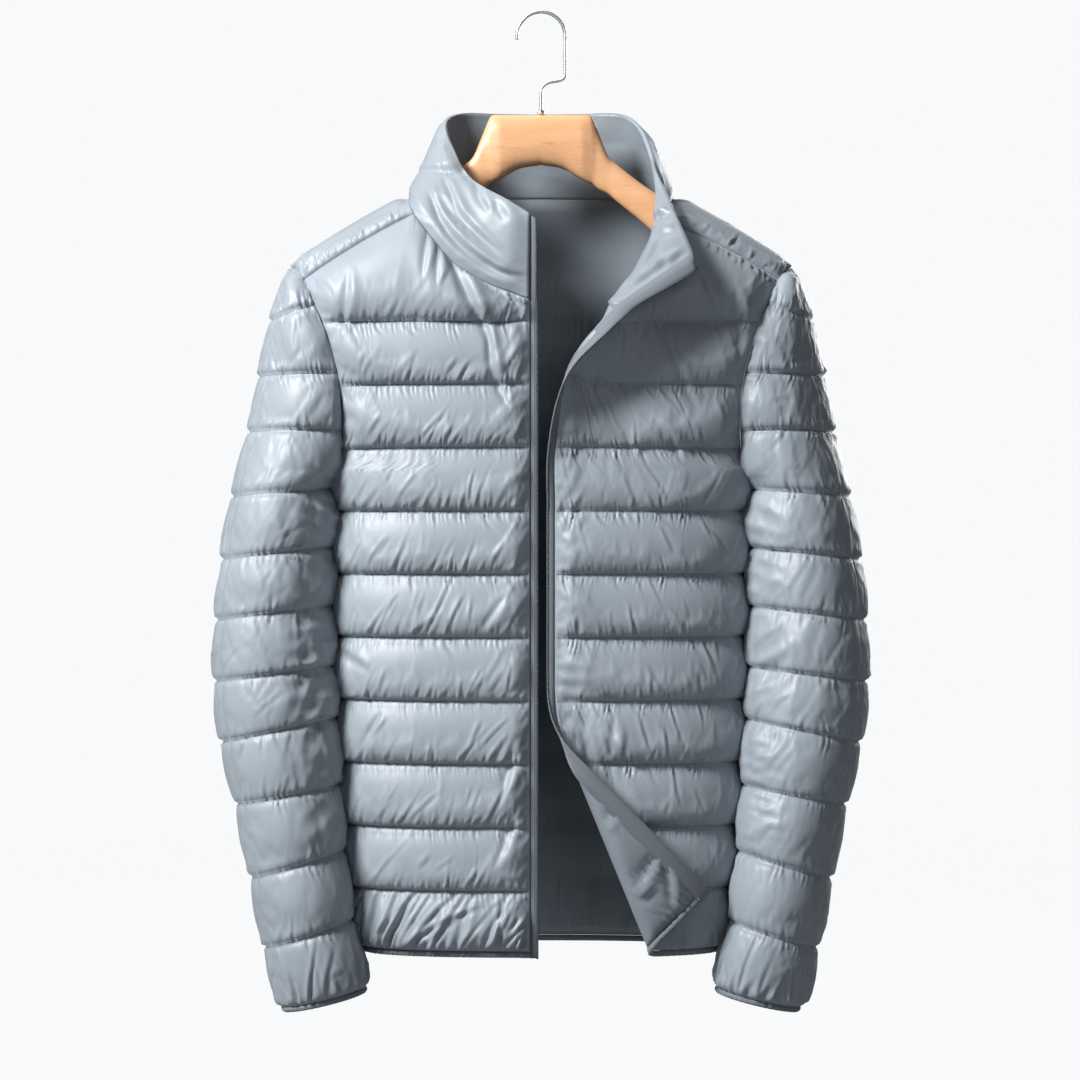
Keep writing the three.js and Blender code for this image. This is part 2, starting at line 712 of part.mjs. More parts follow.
// Pieces that meet at a seam lean their edges the same way, so their walls stay apart.
function shareSeamNormals(walls, reach = 1.8) {
  for (const wall of walls) {
    for (const { p, n, i, j } of wall.edges().flat()) {
      const sum = n.clone();
      for (const other of walls) {
        if (other === wall) continue;
        const near = nearestOnEdges(p, other, reach);
        if (near && near.dot(n) > -0.3) sum.add(near);
      }
      wall.normal[i][j] = sum.normalize();
    }
  }
}

function nearestOnEdges(p, wall, reach) {
  let best = reach;
  let normal = null;
  for (const edge of wall.edges()) {
    for (let i = 0; i < edge.length - 1; i += 1) {
      const a = edge[i];
      const b = edge[i + 1];
      const span = b.p.clone().sub(a.p);
      const t = clamp01(p.clone().sub(a.p).dot(span) / Math.max(1e-9, span.lengthSq()));
      const gap = a.p.clone().addScaledVector(span, t).distanceTo(p);
      if (gap < best) {
        best = gap;
        normal = a.n.clone().lerp(b.n, t).normalize();
      }
    }
  }
  return normal;
}

// A strip of trim swept along frames { p, m, n }; profile points are [along m, along n].
function sweep(frames, profile, closed) {
  const body = new Shell();
  const rings = frames.map(({ p, m, n, scale = 1 }) => profile.map(([a, b]) => body.add(
    p.clone().addScaledVector(m, a * scale).addScaledVector(n, b * scale))));
  const count = profile.length;
  const last = closed ? rings.length : rings.length - 1;
  for (let i = 0; i < last; i += 1) {
    const ring = rings[i];
    const next = rings[(i + 1) % rings.length];
    for (let k = 0; k < count; k += 1) {
      const l = (k + 1) % count;
      body.face(ring[k], ring[l], next[l], false);
      body.face(ring[k], next[l], next[k], false);
    }
  }
  if (!closed) {
    const ends = [[rings[0], true], [rings[rings.length - 1], false]];
    for (const [ring, flip] of ends) {
      for (let k = 1; k < count - 1; k += 1) body.face(ring[0], ring[k], ring[k + 1], flip);
    }
  }
  return body;
}

// Frames along a wall's edge: m leaves the piece in its own surface, n stands off it.
function edgeFrames(wall, edge, inward) {
  return edge.map(({ i, j }) => {
    const p = wall.base[i][j];
    const n = wall.normal[i][j];
    const [di, dj] = inward;
    const m = p.clone().sub(wall.base[i + di][j + dj]);
    m.addScaledVector(n, -m.dot(n)).normalize();
    return { p, m, n };
  });
}

// Rows of quilting. Above the underarm they fall where body and sleeve share the armhole.
const CHANNEL_STEPS = [0, 0.3, 0.72];
const SHARED = [0.95, 0.903, 0.81, 0.70, 0.59, 0.53, 0.40, 0.276, 0.235, 0.19, 0.15, 0.11, YOKE_DROP];
const YOKE_SHARE = armholeShare(rowHeight(YOKE_CHANNEL));
const rowAtShare = (share) => {
  const z = mix(SHOULDER.z, UNDERARM.z, share);
  return 1 + (z - PANEL_BOTTOM - HEM_CHANNEL) / CHANNEL_PITCH;
};
const snap = (g) => (Math.abs(g - Math.round(g)) < 0.02 ? Math.round(g) : g);
const lowerRows = (count) => range(count).flatMap((k) => CHANNEL_STEPS.map((t) => k + t));
const topRow = (share) => (YOKE_SHARE - share) / (YOKE_SHARE - YOKE_DROP);
const UNDERARM_ROW = rowAtShare(1);

function frontRows() {
  const armRows = SHARED.filter((s) => s > YOKE_SHARE - 0.01).map(rowAtShare).map(snap);
  const yokeRows = SHARED.filter((s) => s < YOKE_SHARE - 0.01).map((s) => YOKE_CHANNEL + topRow(s));
  return [...lowerRows(7), 7, 7.3, UNDERARM_ROW, ...armRows, ...yokeRows];
}

function backRows() {
  const armRows = SHARED.filter((s) => s > YOKE_SHARE - 0.01).map(rowAtShare).map(snap);
  const seam = topRow(BACK_SEAM_SHARE);
  const yokeRows = SHARED.filter((s) => s < YOKE_SHARE - 0.01).map(topRow)
    .map((t) => YOKE_CHANNEL + (t <= seam + 1e-9 ? t / seam : 1 + (t - seam) / (1 - seam)));
  return [...lowerRows(7), 7, 7.3, UNDERARM_ROW, ...armRows, ...yokeRows];
}

function sleeveRows() {
  const shares = [1, ...SHARED, YOKE_DROP * 4 / 9, YOKE_DROP / 9];
  return [...lowerRows(8), 8, ...shares.map((s) => snap(capRow(s)))];
}

const indexOf = (rows, wanted) => rows.map((_, i) => i)
  .filter((i) => wanted(rows[i]) || i === 0 || i === rows.length - 1);
const isSeam = (g) => Math.abs(g - Math.round(g)) < 1e-6;

function insetEnds(values, first, last) {
  const out = [...values];
  out[0] += first;
  out[out.length - 1] -= last;
  return out;
}

const front = { right: new Front(-1), left: new Front(1) };
const back = new Back();
const shares = { right: front.right.columns(3), left: front.left.columns(2) };

const bodyWall = (name, piece, columns, rows, fineBelow, outward) => new Wall({
  name,
  piece,
  columns,
  rows,
  innerRows: indexOf(rows, (g) => isSeam(g) || g > UNDERARM_ROW - 1e-6 || g < fineBelow),
  outward,
});

const rowsFront = insetEnds(frontRows(), 0, NECK_GAP / SPAN.neckFront);
const rowsBack = insetEnds(backRows(), 0, NECK_GAP / SPAN.neckBack);
const sideInset = SEAM_GAP / 2 / SPAN.side;
const frontRight = bodyWall('front_right', front.right,
  insetEnds(shares.right, 0, sideInset), rowsFront, 0, -1);
const frontLeft = bodyWall('front_left', front.left,
  insetEnds(shares.left, 0, sideInset), rowsFront, 5, 1);
const backWall = bodyWall('back', back,
  insetEnds(back.columns(), sideInset / 2, sideInset / 2), rowsBack, 0, -1);

const shoulderSteps = range(7).map((i) => i / 6);
const shoulderInset = [NECK_GAP / SPAN.shoulderLong, SEAM_GAP / SPAN.shoulderLong];
const shoulderWall = (name, side) => new Wall({
  name,
  piece: new Shoulder(side),
  columns: insetEnds(shoulderSteps, ...shoulderInset),
  rows: insetEnds(shoulderSteps, SEAM_GAP / SPAN.shoulderWide, SEAM_GAP / SPAN.shoulderWide),
  innerRows: range(7),
  outward: side,
});
const shoulders = [shoulderWall('shoulder_right', -1), shoulderWall('shoulder_left', 1)];

const sleeveSteps = (count) => range(count + 1).map((i) => i / count);
const sleeveWall = (name, side, face) => {
  const rows = sleeveRows();
  const inset = SEAM_GAP / SPAN.sleeve;
  return new Wall({
    name,
    piece: new SleevePiece(side, face),
    columns: insetEnds(sleeveSteps(face < 0 ? 6 : 9), face < 0 ? 1e-4 : inset, face < 0 ? inset : 1e-4),
    rows,
    innerRows: indexOf(rows, (g) => isSeam(g) || g > SLEEVE_UNDERARM_ROW - 1e-6),
    outward: side,
  });
};
const sleeves = [
  sleeveWall('sleeve_front_right', -1, -1),
  sleeveWall('sleeve_back_right', -1, 1),
  sleeveWall('sleeve_front_left', 1, -1),
  sleeveWall('sleeve_back_left', 1, 1),
];

const collarColumns = [
  ...range(32).map((i) => i / 2),
  ...range(19).map((i) => CORNER.frontLeft + i / 3),
].map((row) => row / NECK_ROWS);
const collarRows = [0, 0.18, 0.5, 0.82, 1];
const collarWall = new Wall({
  name: 'collar',
  piece: new Collar(),
  columns: collarColumns,
  rows: collarRows,
  innerRows: [0, 2, 4],
  outward: -1,
  wall: 3,
});

const walls = [frontRight, frontLeft, backWall, ...shoulders, ...sleeves, collarWall];
shareSeamNormals(walls);

const SHELL_GREY = '#8e979f';
const TRIM_GREY = '#5d666e';
const WOOD = '#e3a878';
const STEEL = '#c9cccf';
const jacket = new THREE.Group();
for (const wall of walls) jacket.add(wall.mesh(SHELL_GREY, 0.45));

// Zip tapes with their closed coils
const tapeProfile = [
  [TAPE_GAP, 0.2], [TAPE_WIDTH - COIL.width, 0.2], [TAPE_WIDTH, -0.4],
  [TAPE_WIDTH, COIL.height], [TAPE_WIDTH - COIL.width, TAPE_WALL + 0.2], [TAPE_GAP, TAPE_WALL + 0.2],
];

function tapeFrames(frontWall, collarColumn, inward) {
  const [, , zipEdge] = frontWall.edges();
  const frames = edgeFrames(frontWall, zipEdge, [0, 1]);
  const foot = { ...frames[0], p: frames[0].p.clone() };
  foot.p.addScaledVector(frames[0].p.clone().sub(frames[1].p).normalize(), HEM_TRIM.height - 0.4);
  const collarEdge = collarWall.edges()[collarColumn].slice(1);
  const upper = edgeFrames(collarWall, collarEdge, inward);
  return [foot, ...frames, ...upper];
}
jacket.add(
  sweep(tapeFrames(frontRight, 2, [0, 1]), tapeProfile).toMesh('zip_tape_right', TRIM_GREY, 0.7),
  sweep(tapeFrames(frontLeft, 3, [0, -1]), tapeProfile).toMesh('zip_tape_left', TRIM_GREY, 0.7),
);

// Elastic bindings at the hem and the cuffs
const trimProfile = ({ height, outside, inside }) => [
  [SEAM_GAP, -inside], [height, -inside], [height + 0.6, (outside - inside) / 2],
  [height, outside], [SEAM_GAP, outside],
];
const bottomFrames = (wall) => edgeFrames(wall, wall.edges()[0], [1, 0]);
const hemFrames = [
  ...bottomFrames(frontRight),
  ...bottomFrames(backWall).slice(1),
  ...bottomFrames(frontLeft).reverse().slice(1),
];
jacket.add(sweep(hemFrames, trimProfile(HEM_TRIM)).toMesh('hem_binding', TRIM_GREY, 0.75));
for (const [name, a, b] of [['cuff_binding_right', 0, 1], ['cuff_binding_left', 2, 3]]) {
  const frames = [...bottomFrames(sleeves[a]).slice(1), ...bottomFrames(sleeves[b]).slice(1)];
  jacket.add(sweep(frames, trimProfile(CUFF_TRIM), true).toMesh(name, TRIM_GREY, 0.75));
}

// Wooden hanger: stations along half of its length
const HANGER = new Table(['x', 'top', 'bottom', 'halfDepth', 'midY'], [
  [0, -90.3, -134.8, 11, 0],
  [20, -90.3, -138.5, 11, 0],
  [36.5, -90.3, -148, 11, 0],
  [43, -90.6, -151, 11, 0],
  [46, -93.5, -152, 11, 0],
  [52, -108, -157, 10.5, 0],
  [60, -127, -161, 10, 0],
  [67, -134, -167, 10, -0.5],
  [90, -152, -186, 11, -1],
  [113, -166.9, -206, 12, -2],
  [150, -187, -223, 13, -2],
  [180, -204.9, -236, 14, -2],
  [200, -218.6, -244, 14, -2],
  [206, -224.5, -242, 12, -2],
]);
const HANGER_POWER = 2.4;
const HANGER_SIDES = 14;

function hangerSection(x) {
  const { top, bottom, halfDepth, midY } = HANGER.at(Math.abs(x));
  const half = (top - bottom) / 2;
  const round = (value) => Math.sign(value) * Math.abs(value) ** (2 / HANGER_POWER);
  return range(HANGER_SIDES).map((i) => {
    const a = (i + 0.5) * 2 * Math.PI / HANGER_SIDES;
    return vec(x, midY + halfDepth * round(Math.cos(a)), (top + bottom) / 2 + half * round(Math.sin(a)));
  });
}

function hangerBody() {
  const half = [0, 20, 36.5, 43, 46, 52, 60, 67, 78, 90, 113, 135, 160, 185, 200, 206];
  const stations = [...half.slice(1).map((x) => -x).reverse(), ...half];
  const body = new Shell();
  const rings = body.addGrid(stations.map(hangerSection));
  for (let i = 0; i < rings.length - 1; i += 1) {
    for (let k = 0; k < HANGER_SIDES; k += 1) {
      const l = (k + 1) % HANGER_SIDES;
      body.face(rings[i][k], rings[i][l], rings[i + 1][l], false);
      body.face(rings[i][k], rings[i + 1][l], rings[i + 1][k], false);
    }
  }
  for (const [ring, flip] of [[rings[0], true], [rings[rings.length - 1], false]]) {
    for (let k = 1; k < HANGER_SIDES - 1; k += 1) body.face(ring[0], ring[k], ring[k + 1], flip);
  }
  return body.toGeometry();
}

const toManifold = (geometry) => new wasm.Manifold(new wasm.Mesh({
  numProp: 3,
  vertProperties: new Float32Array(geometry.attributes.position.array),
  triVerts: new Uint32Array(geometry.index.array),
}));

function toGeometry(solid) {
  const { vertProperties, triVerts } = solid.getMesh();
  const geometry = new THREE.BufferGeometry();
  geometry.setAttribute('position', new THREE.BufferAttribute(new Float32Array(vertProperties), 3));
  geometry.setIndex(Array.from(triVerts));
  return geometry;
}

// A closed round bar through the block's top, cut away for the hook's stem.
function stemHole() {
  const bore = WIRE + STEM_CLEAR;
  const frames = [-80, -106].map((z) => ({ p: vec(0, 0, z), m: vec(1, 0, 0), n: vec(0, 1, 0) }));
  const round = range(12).map((i) => [bore * Math.cos(i * 30 * RAD), bore * Math.sin(i * 30 * RAD)]);
  return sweep(frames, round).toGeometry();
}
const block = toGeometry(toManifold(hangerBody()).subtract(toManifold(stemHole())));
jacket.add(asMesh(block, 'hanger', WOOD, 0.5));

// Hook: a bent wire from its stem up over the rail
const HOOK_PATH = [
  [0, -105.7], [0, -90.1], [0, -89.9], [0, -86.5], [0, -86], [0, -70], [1.2, -65.5],
  [6, -61.8], [18, -59], [21, -56], [HOOK_RADIUS, -52], [HOOK_RADIUS, -36],
];
const HOOK_ARC = { steps: 16, from: 0, to: 188 * RAD };

function hookBody() {
  const centreZ = WIRE - HOOK_RADIUS;
  const arc = range(HOOK_ARC.steps + 1).map((i) => {
    const a = mix(HOOK_ARC.from, HOOK_ARC.to, i / HOOK_ARC.steps);
    return [HOOK_RADIUS * Math.cos(a), centreZ + HOOK_RADIUS * Math.sin(a)];
  });
  const path = [...HOOK_PATH, ...arc].map(([x, z]) => vec(x, 0, z));
  const frames = path.map((p, i) => {
    const along = path[Math.min(path.length - 1, i + 1)].clone().sub(path[Math.max(0, i - 1)]).normalize();
    const wide = i === 2 || i === 3 ? FERRULE / WIRE : 1;
    return { p, m: vec(-along.z, 0, along.x), n: vec(0, 1, 0), scale: wide };
  });
  const round = range(8).map((i) => [WIRE * Math.cos(i * 45 * RAD), WIRE * Math.sin(i * 45 * RAD)]);
  return sweep(frames, round);
}
jacket.add(hookBody().toMesh('hanger_hook', STEEL, 0.25, 1));

export default jacket;
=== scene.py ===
"""A quilted puffer jacket hanging open on a contoured wooden hanger.

Shapes are worked out in millimetres in the part's own frame: +Z up, -Y the jacket's front,
-X the wearer's right, and the origin at the inside crest of the hook.
"""
import logging
import math
from dataclasses import dataclass, field
from enum import Enum

import bpy
import numpy as np
from bpy.types import Material, Node, NodeSocket, NodeTree, Object
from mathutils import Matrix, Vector
from mathutils.kdtree import KDTree


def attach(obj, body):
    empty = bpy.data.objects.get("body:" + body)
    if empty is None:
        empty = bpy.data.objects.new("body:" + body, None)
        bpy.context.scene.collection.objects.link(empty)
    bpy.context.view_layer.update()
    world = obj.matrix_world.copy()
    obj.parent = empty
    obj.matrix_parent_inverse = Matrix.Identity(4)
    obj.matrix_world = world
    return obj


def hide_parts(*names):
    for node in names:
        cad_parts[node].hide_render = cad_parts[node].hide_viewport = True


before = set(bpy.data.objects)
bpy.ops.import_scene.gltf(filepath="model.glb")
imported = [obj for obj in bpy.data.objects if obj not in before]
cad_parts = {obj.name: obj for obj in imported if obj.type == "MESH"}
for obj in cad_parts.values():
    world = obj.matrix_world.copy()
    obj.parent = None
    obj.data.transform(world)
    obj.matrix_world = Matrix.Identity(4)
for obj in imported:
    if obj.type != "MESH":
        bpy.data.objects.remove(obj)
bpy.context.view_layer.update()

MM = 0.001
LOG = logging.getLogger("jacket")


class Side(Enum):
    """The wearer's side, as the sign of X."""

    RIGHT = -1
    LEFT = 1


class Face(Enum):
    """The front or the back of the body, as the sign of Y."""

    FRONT = -1
    BACK = 1


class Slot(Enum):
    """The record's material slots."""

    SHELL = "shell_nylon"
    TAPE = "zip_tape"
    BINDING = "elastic_binding"
    WOOD = "hanger_wood"
    WIRE = "hook_wire"


# Numbers and curves


def ease(t: np.ndarray) -> np.ndarray:
    """Smooth step from 0 to 1."""
    t = np.clip(t, 0.0, 1.0)
    return t * t * (3.0 - 2.0 * t)


def mix(a: np.ndarray, b: np.ndarray, t: np.ndarray) -> np.ndarray:
    """Linear blend from a to b."""
    return a + (b - a) * t


def unit(v: np.ndarray) -> np.ndarray:
    """Vectors scaled to length 1 along the last axis."""
    return v / np.maximum(np.linalg.norm(v, axis=-1, keepdims=True), 1e-12)


def bell(x: np.ndarray, width: float) -> np.ndarray:
    """A smooth hump of height 1 at 0, about two widths across."""
    return np.exp(-((x / width) ** 2))


def lengths(points: np.ndarray, axis: int) -> np.ndarray:
    """Distances along a grid's rows or columns.

    Args:
        points: rows by columns by 3.
        axis: 1 for distances along each row, 0 for those up each column.

    Returns:
        Rows by columns, from 0 at the first point.
    """
    steps = np.linalg.norm(np.diff(points, axis=axis), axis=-1)
    return np.concatenate([np.zeros_like(np.take(steps, [0], axis)), np.cumsum(steps, axis)], axis)


def hermite(p0: np.ndarray, t0: np.ndarray, p1: np.ndarray, t1: np.ndarray, t: np.ndarray) -> np.ndarray:
    """A cubic between two points with end tangents.

    Args:
        p0: first point.
        t0: tangent there.
        p1: last point.
        t1: tangent there.
        t: shares from 0 to 1, one number or a column of them.

    Returns:
        One point for each share.
    """
    square, cube = t**2, t**3
    return (
        (2 * cube - 3 * square + 1) * p0 + (3 * square - 2 * cube) * p1
        + (cube - 2 * square + t) * t0 + (cube - square) * t1
    )


class Run:
    """A run of points read by its share of length."""

    def __init__(self, points: np.ndarray) -> None:
        """Measures the run.

        Args:
            points: rows of x, y, z in millimetres.
        """
        self.points = np.asarray(points, dtype=float)
        steps = np.linalg.norm(np.diff(self.points, axis=0), axis=1)
        self.along = np.concatenate([[0.0], np.cumsum(steps)])
        self.length = float(self.along[-1])

    def at(self, share: np.ndarray) -> np.ndarray:
        """Points at shares of the length.

        Args:
            share: values from 0 to 1.

        Returns:
            One row of x, y, z for each share.
        """
        want = np.clip(np.asarray(share, dtype=float), 0.0, 1.0) * self.length
        return np.stack([np.interp(want, self.along, self.points[:, k]) for k in range(3)], axis=-1)


class Table:
    """A short table with named columns, read at any key by a smooth curve through its rows."""

    def __init__(self, names: tuple[str, ...], rows: list[tuple[float, ...]]) -> None:
        """Keeps the table.

        Args:
            names: the key's name, then each column's.
            rows: numbers in the same order, with the key rising.
        """
        self.names = names[1:]
        self.data = np.array(rows, dtype=float)

    def at(self, key: float) -> dict[str, float]:
        """Reads the table.

        Args:
            key: a value of the first column.

        Returns:
            Each column's name and its value there.
        """
        d = self.data
        i = int(np.clip(np.searchsorted(d[:, 0], key, side="left") - 1, 0, len(d) - 2))
        span = d[i + 1, 0] - d[i, 0]
        t = min(1.0, max(0.0, (key - d[i, 0]) / span))
        row = hermite(d[i], self.slope(i) * span, d[i + 1], self.slope(i + 1) * span, t)
        return dict(zip(self.names, row[1:]))

    def slope(self, i: int) -> np.ndarray:
        """Slope of every column at row i."""
        lo = self.data[max(0, i - 1)]
        hi = self.data[min(len(self.data) - 1, i + 1)]
        return (hi - lo) / (hi[0] - lo[0])


class Spline:
    """A centripetal Catmull-Rom curve, read by the index of its points."""

    def __init__(self, points: list[tuple[float, float, float]]) -> None:
        """Adds a phantom point past each end.

        Args:
            points: the points that the curve passes through.
        """
        p = np.array(points, dtype=float)
        self.p = np.vstack([2 * p[0] - p[1], p, 2 * p[-1] - p[-2]])
        self.last = len(points) - 1

    def at(self, index: np.ndarray) -> np.ndarray:
        """Points of the curve.

        Args:
            index: positions counted in points, fractions included.

        Returns:
            One row of x, y, z for each.
        """
        index = np.clip(np.atleast_1d(np.asarray(index, dtype=float)), 0, self.last)
        i = np.minimum(index.astype(int), self.last - 1)
        t = (index - i)[:, None]
        a, b, c, d = (self.p[i + k] for k in range(4))
        ab, bc, cd = (
            np.maximum(np.linalg.norm(q - r, axis=1, keepdims=True) ** 0.5, 1e-4)
            for q, r in ((b, a), (c, b), (d, c))
        )
        start = ((b - a) / ab - (c - a) / (ab + bc) + (c - b) / bc) * bc
        end = ((c - b) / bc - (d - b) / (bc + cd) + (d - c) / cd) * bc
        return hermite(b, start, c, end, t)


def smooth_noise(x: np.ndarray, scale: float, seed: int, terms: int = 9) -> np.ndarray:
    """Seeded one-dimensional noise with features near a given size.

    Args:
        x: positions in millimetres.
        scale: typical feature length in millimetres.
        seed: fixed seed.
        terms: number of waves summed.

    Returns:
        Values of about -1 to 1.
    """
    rng = np.random.default_rng(seed)
    waves = rng.uniform(0.7, 1.6, terms) * 2 * math.pi / scale
    phases = rng.uniform(0, 2 * math.pi, terms)
    return np.sum(np.sin(x[..., None] * waves + phases), axis=-1) / math.sqrt(terms)


# The jacket's form


@dataclass(frozen=True)
class JacketForm:
    """Driving sizes of the jacket in millimetres. The solids of the frame follow the same ones."""

    section_power: float = 2.5
    panel_bottom: float = -827.0
    hem_channel: float = 52.6
    pitch: float = 55.2
    yoke_row: int = 10
    zip_edge_right: float = 9.5
    zip_edge_left: float = 12.0
    top_bulge: float = 6.0
    back_bulge: float = 5.0
    shoulder: tuple[float, float] = (219.0, -229.0)
    underarm: tuple[float, float] = (180.0, -405.0)
    armhole_half_depth: float = 46.0
    armhole_round: float = 2.2
    inset_front: float = 20.0
    inset_back: float = 5.0
    yoke_drop: float = 0.07
    back_seam_share: float = 0.19
    shoulder_bulge: float = 4.0
    hind_seam: float = math.radians(143)
    sleeve_underarm_row: float = 8.35
    fold_top: tuple[float, float] = (16.5, -637.7)
    fold_foot: tuple[float, float] = (94.6, -828.6)
    fold_radius: float = 12.0
    fold_turn: float = math.radians(174)
    seam_wall: float = 2.2

    def height(self, g: float) -> float:
        """Height of a row of quilting."""
        low = self.panel_bottom + self.hem_channel * g
        return low if g < 1 else self.panel_bottom + self.hem_channel + self.pitch * (g - 1)

    def share(self, z: float) -> float:
        """Share of the armhole's drop at a height."""
        return float(np.clip((self.shoulder[1] - z) / (self.shoulder[1] - self.underarm[1]), 0, 1))


FORM = JacketForm()
YOKE_SHARE = FORM.share(FORM.height(FORM.yoke_row))

BODY = Table(("z", "half_width", "front", "back"), [
    (-840, 155, 62, 64),
    (-780, 164, 64, 66),
    (-700, 172, 66, 68),
    (-600, 176, 67, 69),
    (-443, 177, 67, 70),
    (-405, 180, 67, 69),
    (-330, 180, 66, 68),
    (-277, 180, 63, 67),
    (-258, 180, 61, 66),
])
NECKLINE = Spline([
    (-9.6, -68, -258.2), (-44.4, -63, -246.4), (-75, -57, -228.4), (-97, -50, -203),
    (-111, -40, -183), (-115, -20, -171), (-114, 0, -166), (-106, 27, -166),
    (-85, 43, -163), (-45, 54, -161), (0, 57, -160), (45, 54, -161), (85, 43, -163),
    (106, 27, -166), (114, 0, -166), (113, -18, -172), (107, -37, -188), (94, -54, -216),
    (78, -74, -241), (62, -91, -258), (58, -101, -264), (62, -109, -267), (73, -112, -268),
])
COLLAR_TOP = Spline([
    (-8.7, -71, -185), (-30, -62, -171), (-46, -50, -162), (-58, -37, -154),
    (-68, -24, -142), (-76, -10, -124), (-82, 4, -107), (-82, 20, -92), (-68, 38, -84),
    (-38, 50, -83), (0, 54, -83), (36, 50, -83), (66, 40, -84), (80, 25, -92),
    (88, 10, -104), (92, 0, -115), (97, -15, -131), (105, -31, -152), (115, -52, -177),
    (124, -72, -200), (129, -82, -213), (132, -88, -222), (134, -90, -228),
])
LAPEL = Table(("row", "leave_x", "edge_x", "edge_y", "edge_z", "turn"), [
    (7, 34, 12.2, -66.9, -443.2, 0),
    (8, 50, 12.2, -76, -387, 25),
    (9, 80, 22.6, -97, -325, 95),
    (10, 120, 59, -111, -282, 150),
])
LAPEL_FIRST_ROW = 7
SLEEVE = Table(("row", "out_x", "out_z", "in_x", "in_z", "half_depth", "mid_y"), [
    (0, -226, -877, -157, -861, 36, -36),
    (1, -239.4, -825, -171.6, -803, 42, -32),
    (2, -251.8, -764.5, -180.4, -742, 46, -27),
    (3, -265, -700, -186.6, -684, 50, -22),
    (4, -278.2, -645.6, -192, -626, 52, -18),
    (5, -284.4, -592.7, -196, -580, 54, -14),
    (6, -283.5, -539, -199, -527, 55, -10),
    (7, -279.1, -486, -195.4, -475, 56, -6),
    (8, -270.3, -430.6, -189.5, -424, 56, -3.5),
    (9, -256.2, -373.4, -187, -395, 54, 0),
    (10, -247.4, -324, -187, -395, 50, 0),
    (11, -236.8, -274.7, -187, -395, 42, 0),
    (11.667, -227, -241.5, -187, -395, 29, 0),
    (11.87, -222.6, -233.4, -187, -395, 20, 0),
    (12, -219.9, -229.7, -187, -395, 10, 0),
])
# How far the sleeve's inner side leans on the body: rows, then millimetres
SLEEVE_LEAN = ((0, 2, 4, 6, 7.5, 8.2), (0.5, 3.5, 8, 11, 8.5, 0))
SLEEVE_FULL_ROWS = 8
# Rows of the sleeve's cap and the share of the armhole's drop where each one meets it
CAP_ROWS = (8.35, 9.0, 10.0, 11.0, 11.667, 11.87, 12.0)
CAP_SHARES = (1.0, 0.81, 0.53, 0.19, 0.07, 0.07 * 4 / 9, 0.07 / 9)


class Corner(Enum):
    """Neckline points where the fronts, the back and the shoulder pieces meet."""

    FRONT_RIGHT = 4
    BACK_RIGHT = 7
    BACK_LEFT = 13
    FRONT_LEFT = 16
    END = 22


def armhole(side: int, share: float, face: int) -> np.ndarray:
    """A point of the armhole.

    Args:
        side: sign of X.
        share: 0 at the shoulder, 1 under the arm.
        face: -1 at the front, 1 at the back.

    Returns:
        The point.
    """
    power = FORM.armhole_round
    depth = FORM.armhole_half_depth * max(0.0, 1 - abs(2 * share - 1) ** power) ** (1 / power)
    wave = max(0.0, math.sin(math.pi * share))
    inset = FORM.inset_front * wave**0.8 if face < 0 else FORM.inset_back * wave
    x = mix(FORM.shoulder[0], FORM.underarm[0], share) - inset
    return np.array([side * x, face * depth, mix(FORM.shoulder[1], FORM.underarm[1], share)])


def half_section(z: float, face: int, start_x: float) -> np.ndarray:
    """Half of the body's section, from start_x out to the side seam or the armhole.

    Args:
        z: height.
        face: -1 for the front half, 1 for the back half.
        start_x: where it starts.

    Returns:
        Points on the wearer's left.
    """
    row = BODY.at(z)
    depth = row["front"] if face < 0 else row["back"]
    n = FORM.section_power
    half_width, end_y = row["half_width"], 0.0
    if z > FORM.underarm[1]:
        end = armhole(1, FORM.share(z), face)
        end_y = abs(end[1])
        half_width = end[0] / (1 - (end_y / depth) ** n) ** (1 / n)
    a = np.linspace(math.asin((start_x / half_width) ** (n / 2)), math.acos((end_y / depth) ** (n / 2)), 90)
    x = half_width * np.sin(a) ** (2 / n)
    y = face * depth * np.maximum(0.0, np.cos(a)) ** (2 / n)
    return np.stack([x, y, np.full_like(x, z)], axis=-1)


def shoulder_seam(side: int, face: int) -> np.ndarray:
    """The seam from a corner of the neck to the armhole, swelling a little at its middle.

    Args:
        side: sign of X.
        face: -1 for the yoke seam, 1 for the seam at the back.

    Returns:
        Its points.
    """
    corner = {
        (-1, -1): Corner.FRONT_RIGHT, (-1, 1): Corner.BACK_RIGHT,
        (1, -1): Corner.FRONT_LEFT, (1, 1): Corner.BACK_LEFT,
    }[(side, face)]
    t = np.linspace(0, 1, 25)[:, None]
    line = mix(NECKLINE.at(corner.value), armhole(side, FORM.yoke_drop, face)[None], t)
    swell = FORM.shoulder_bulge * 4 * t * (1 - t)
    return line + swell * np.array([0, face, 0.6])


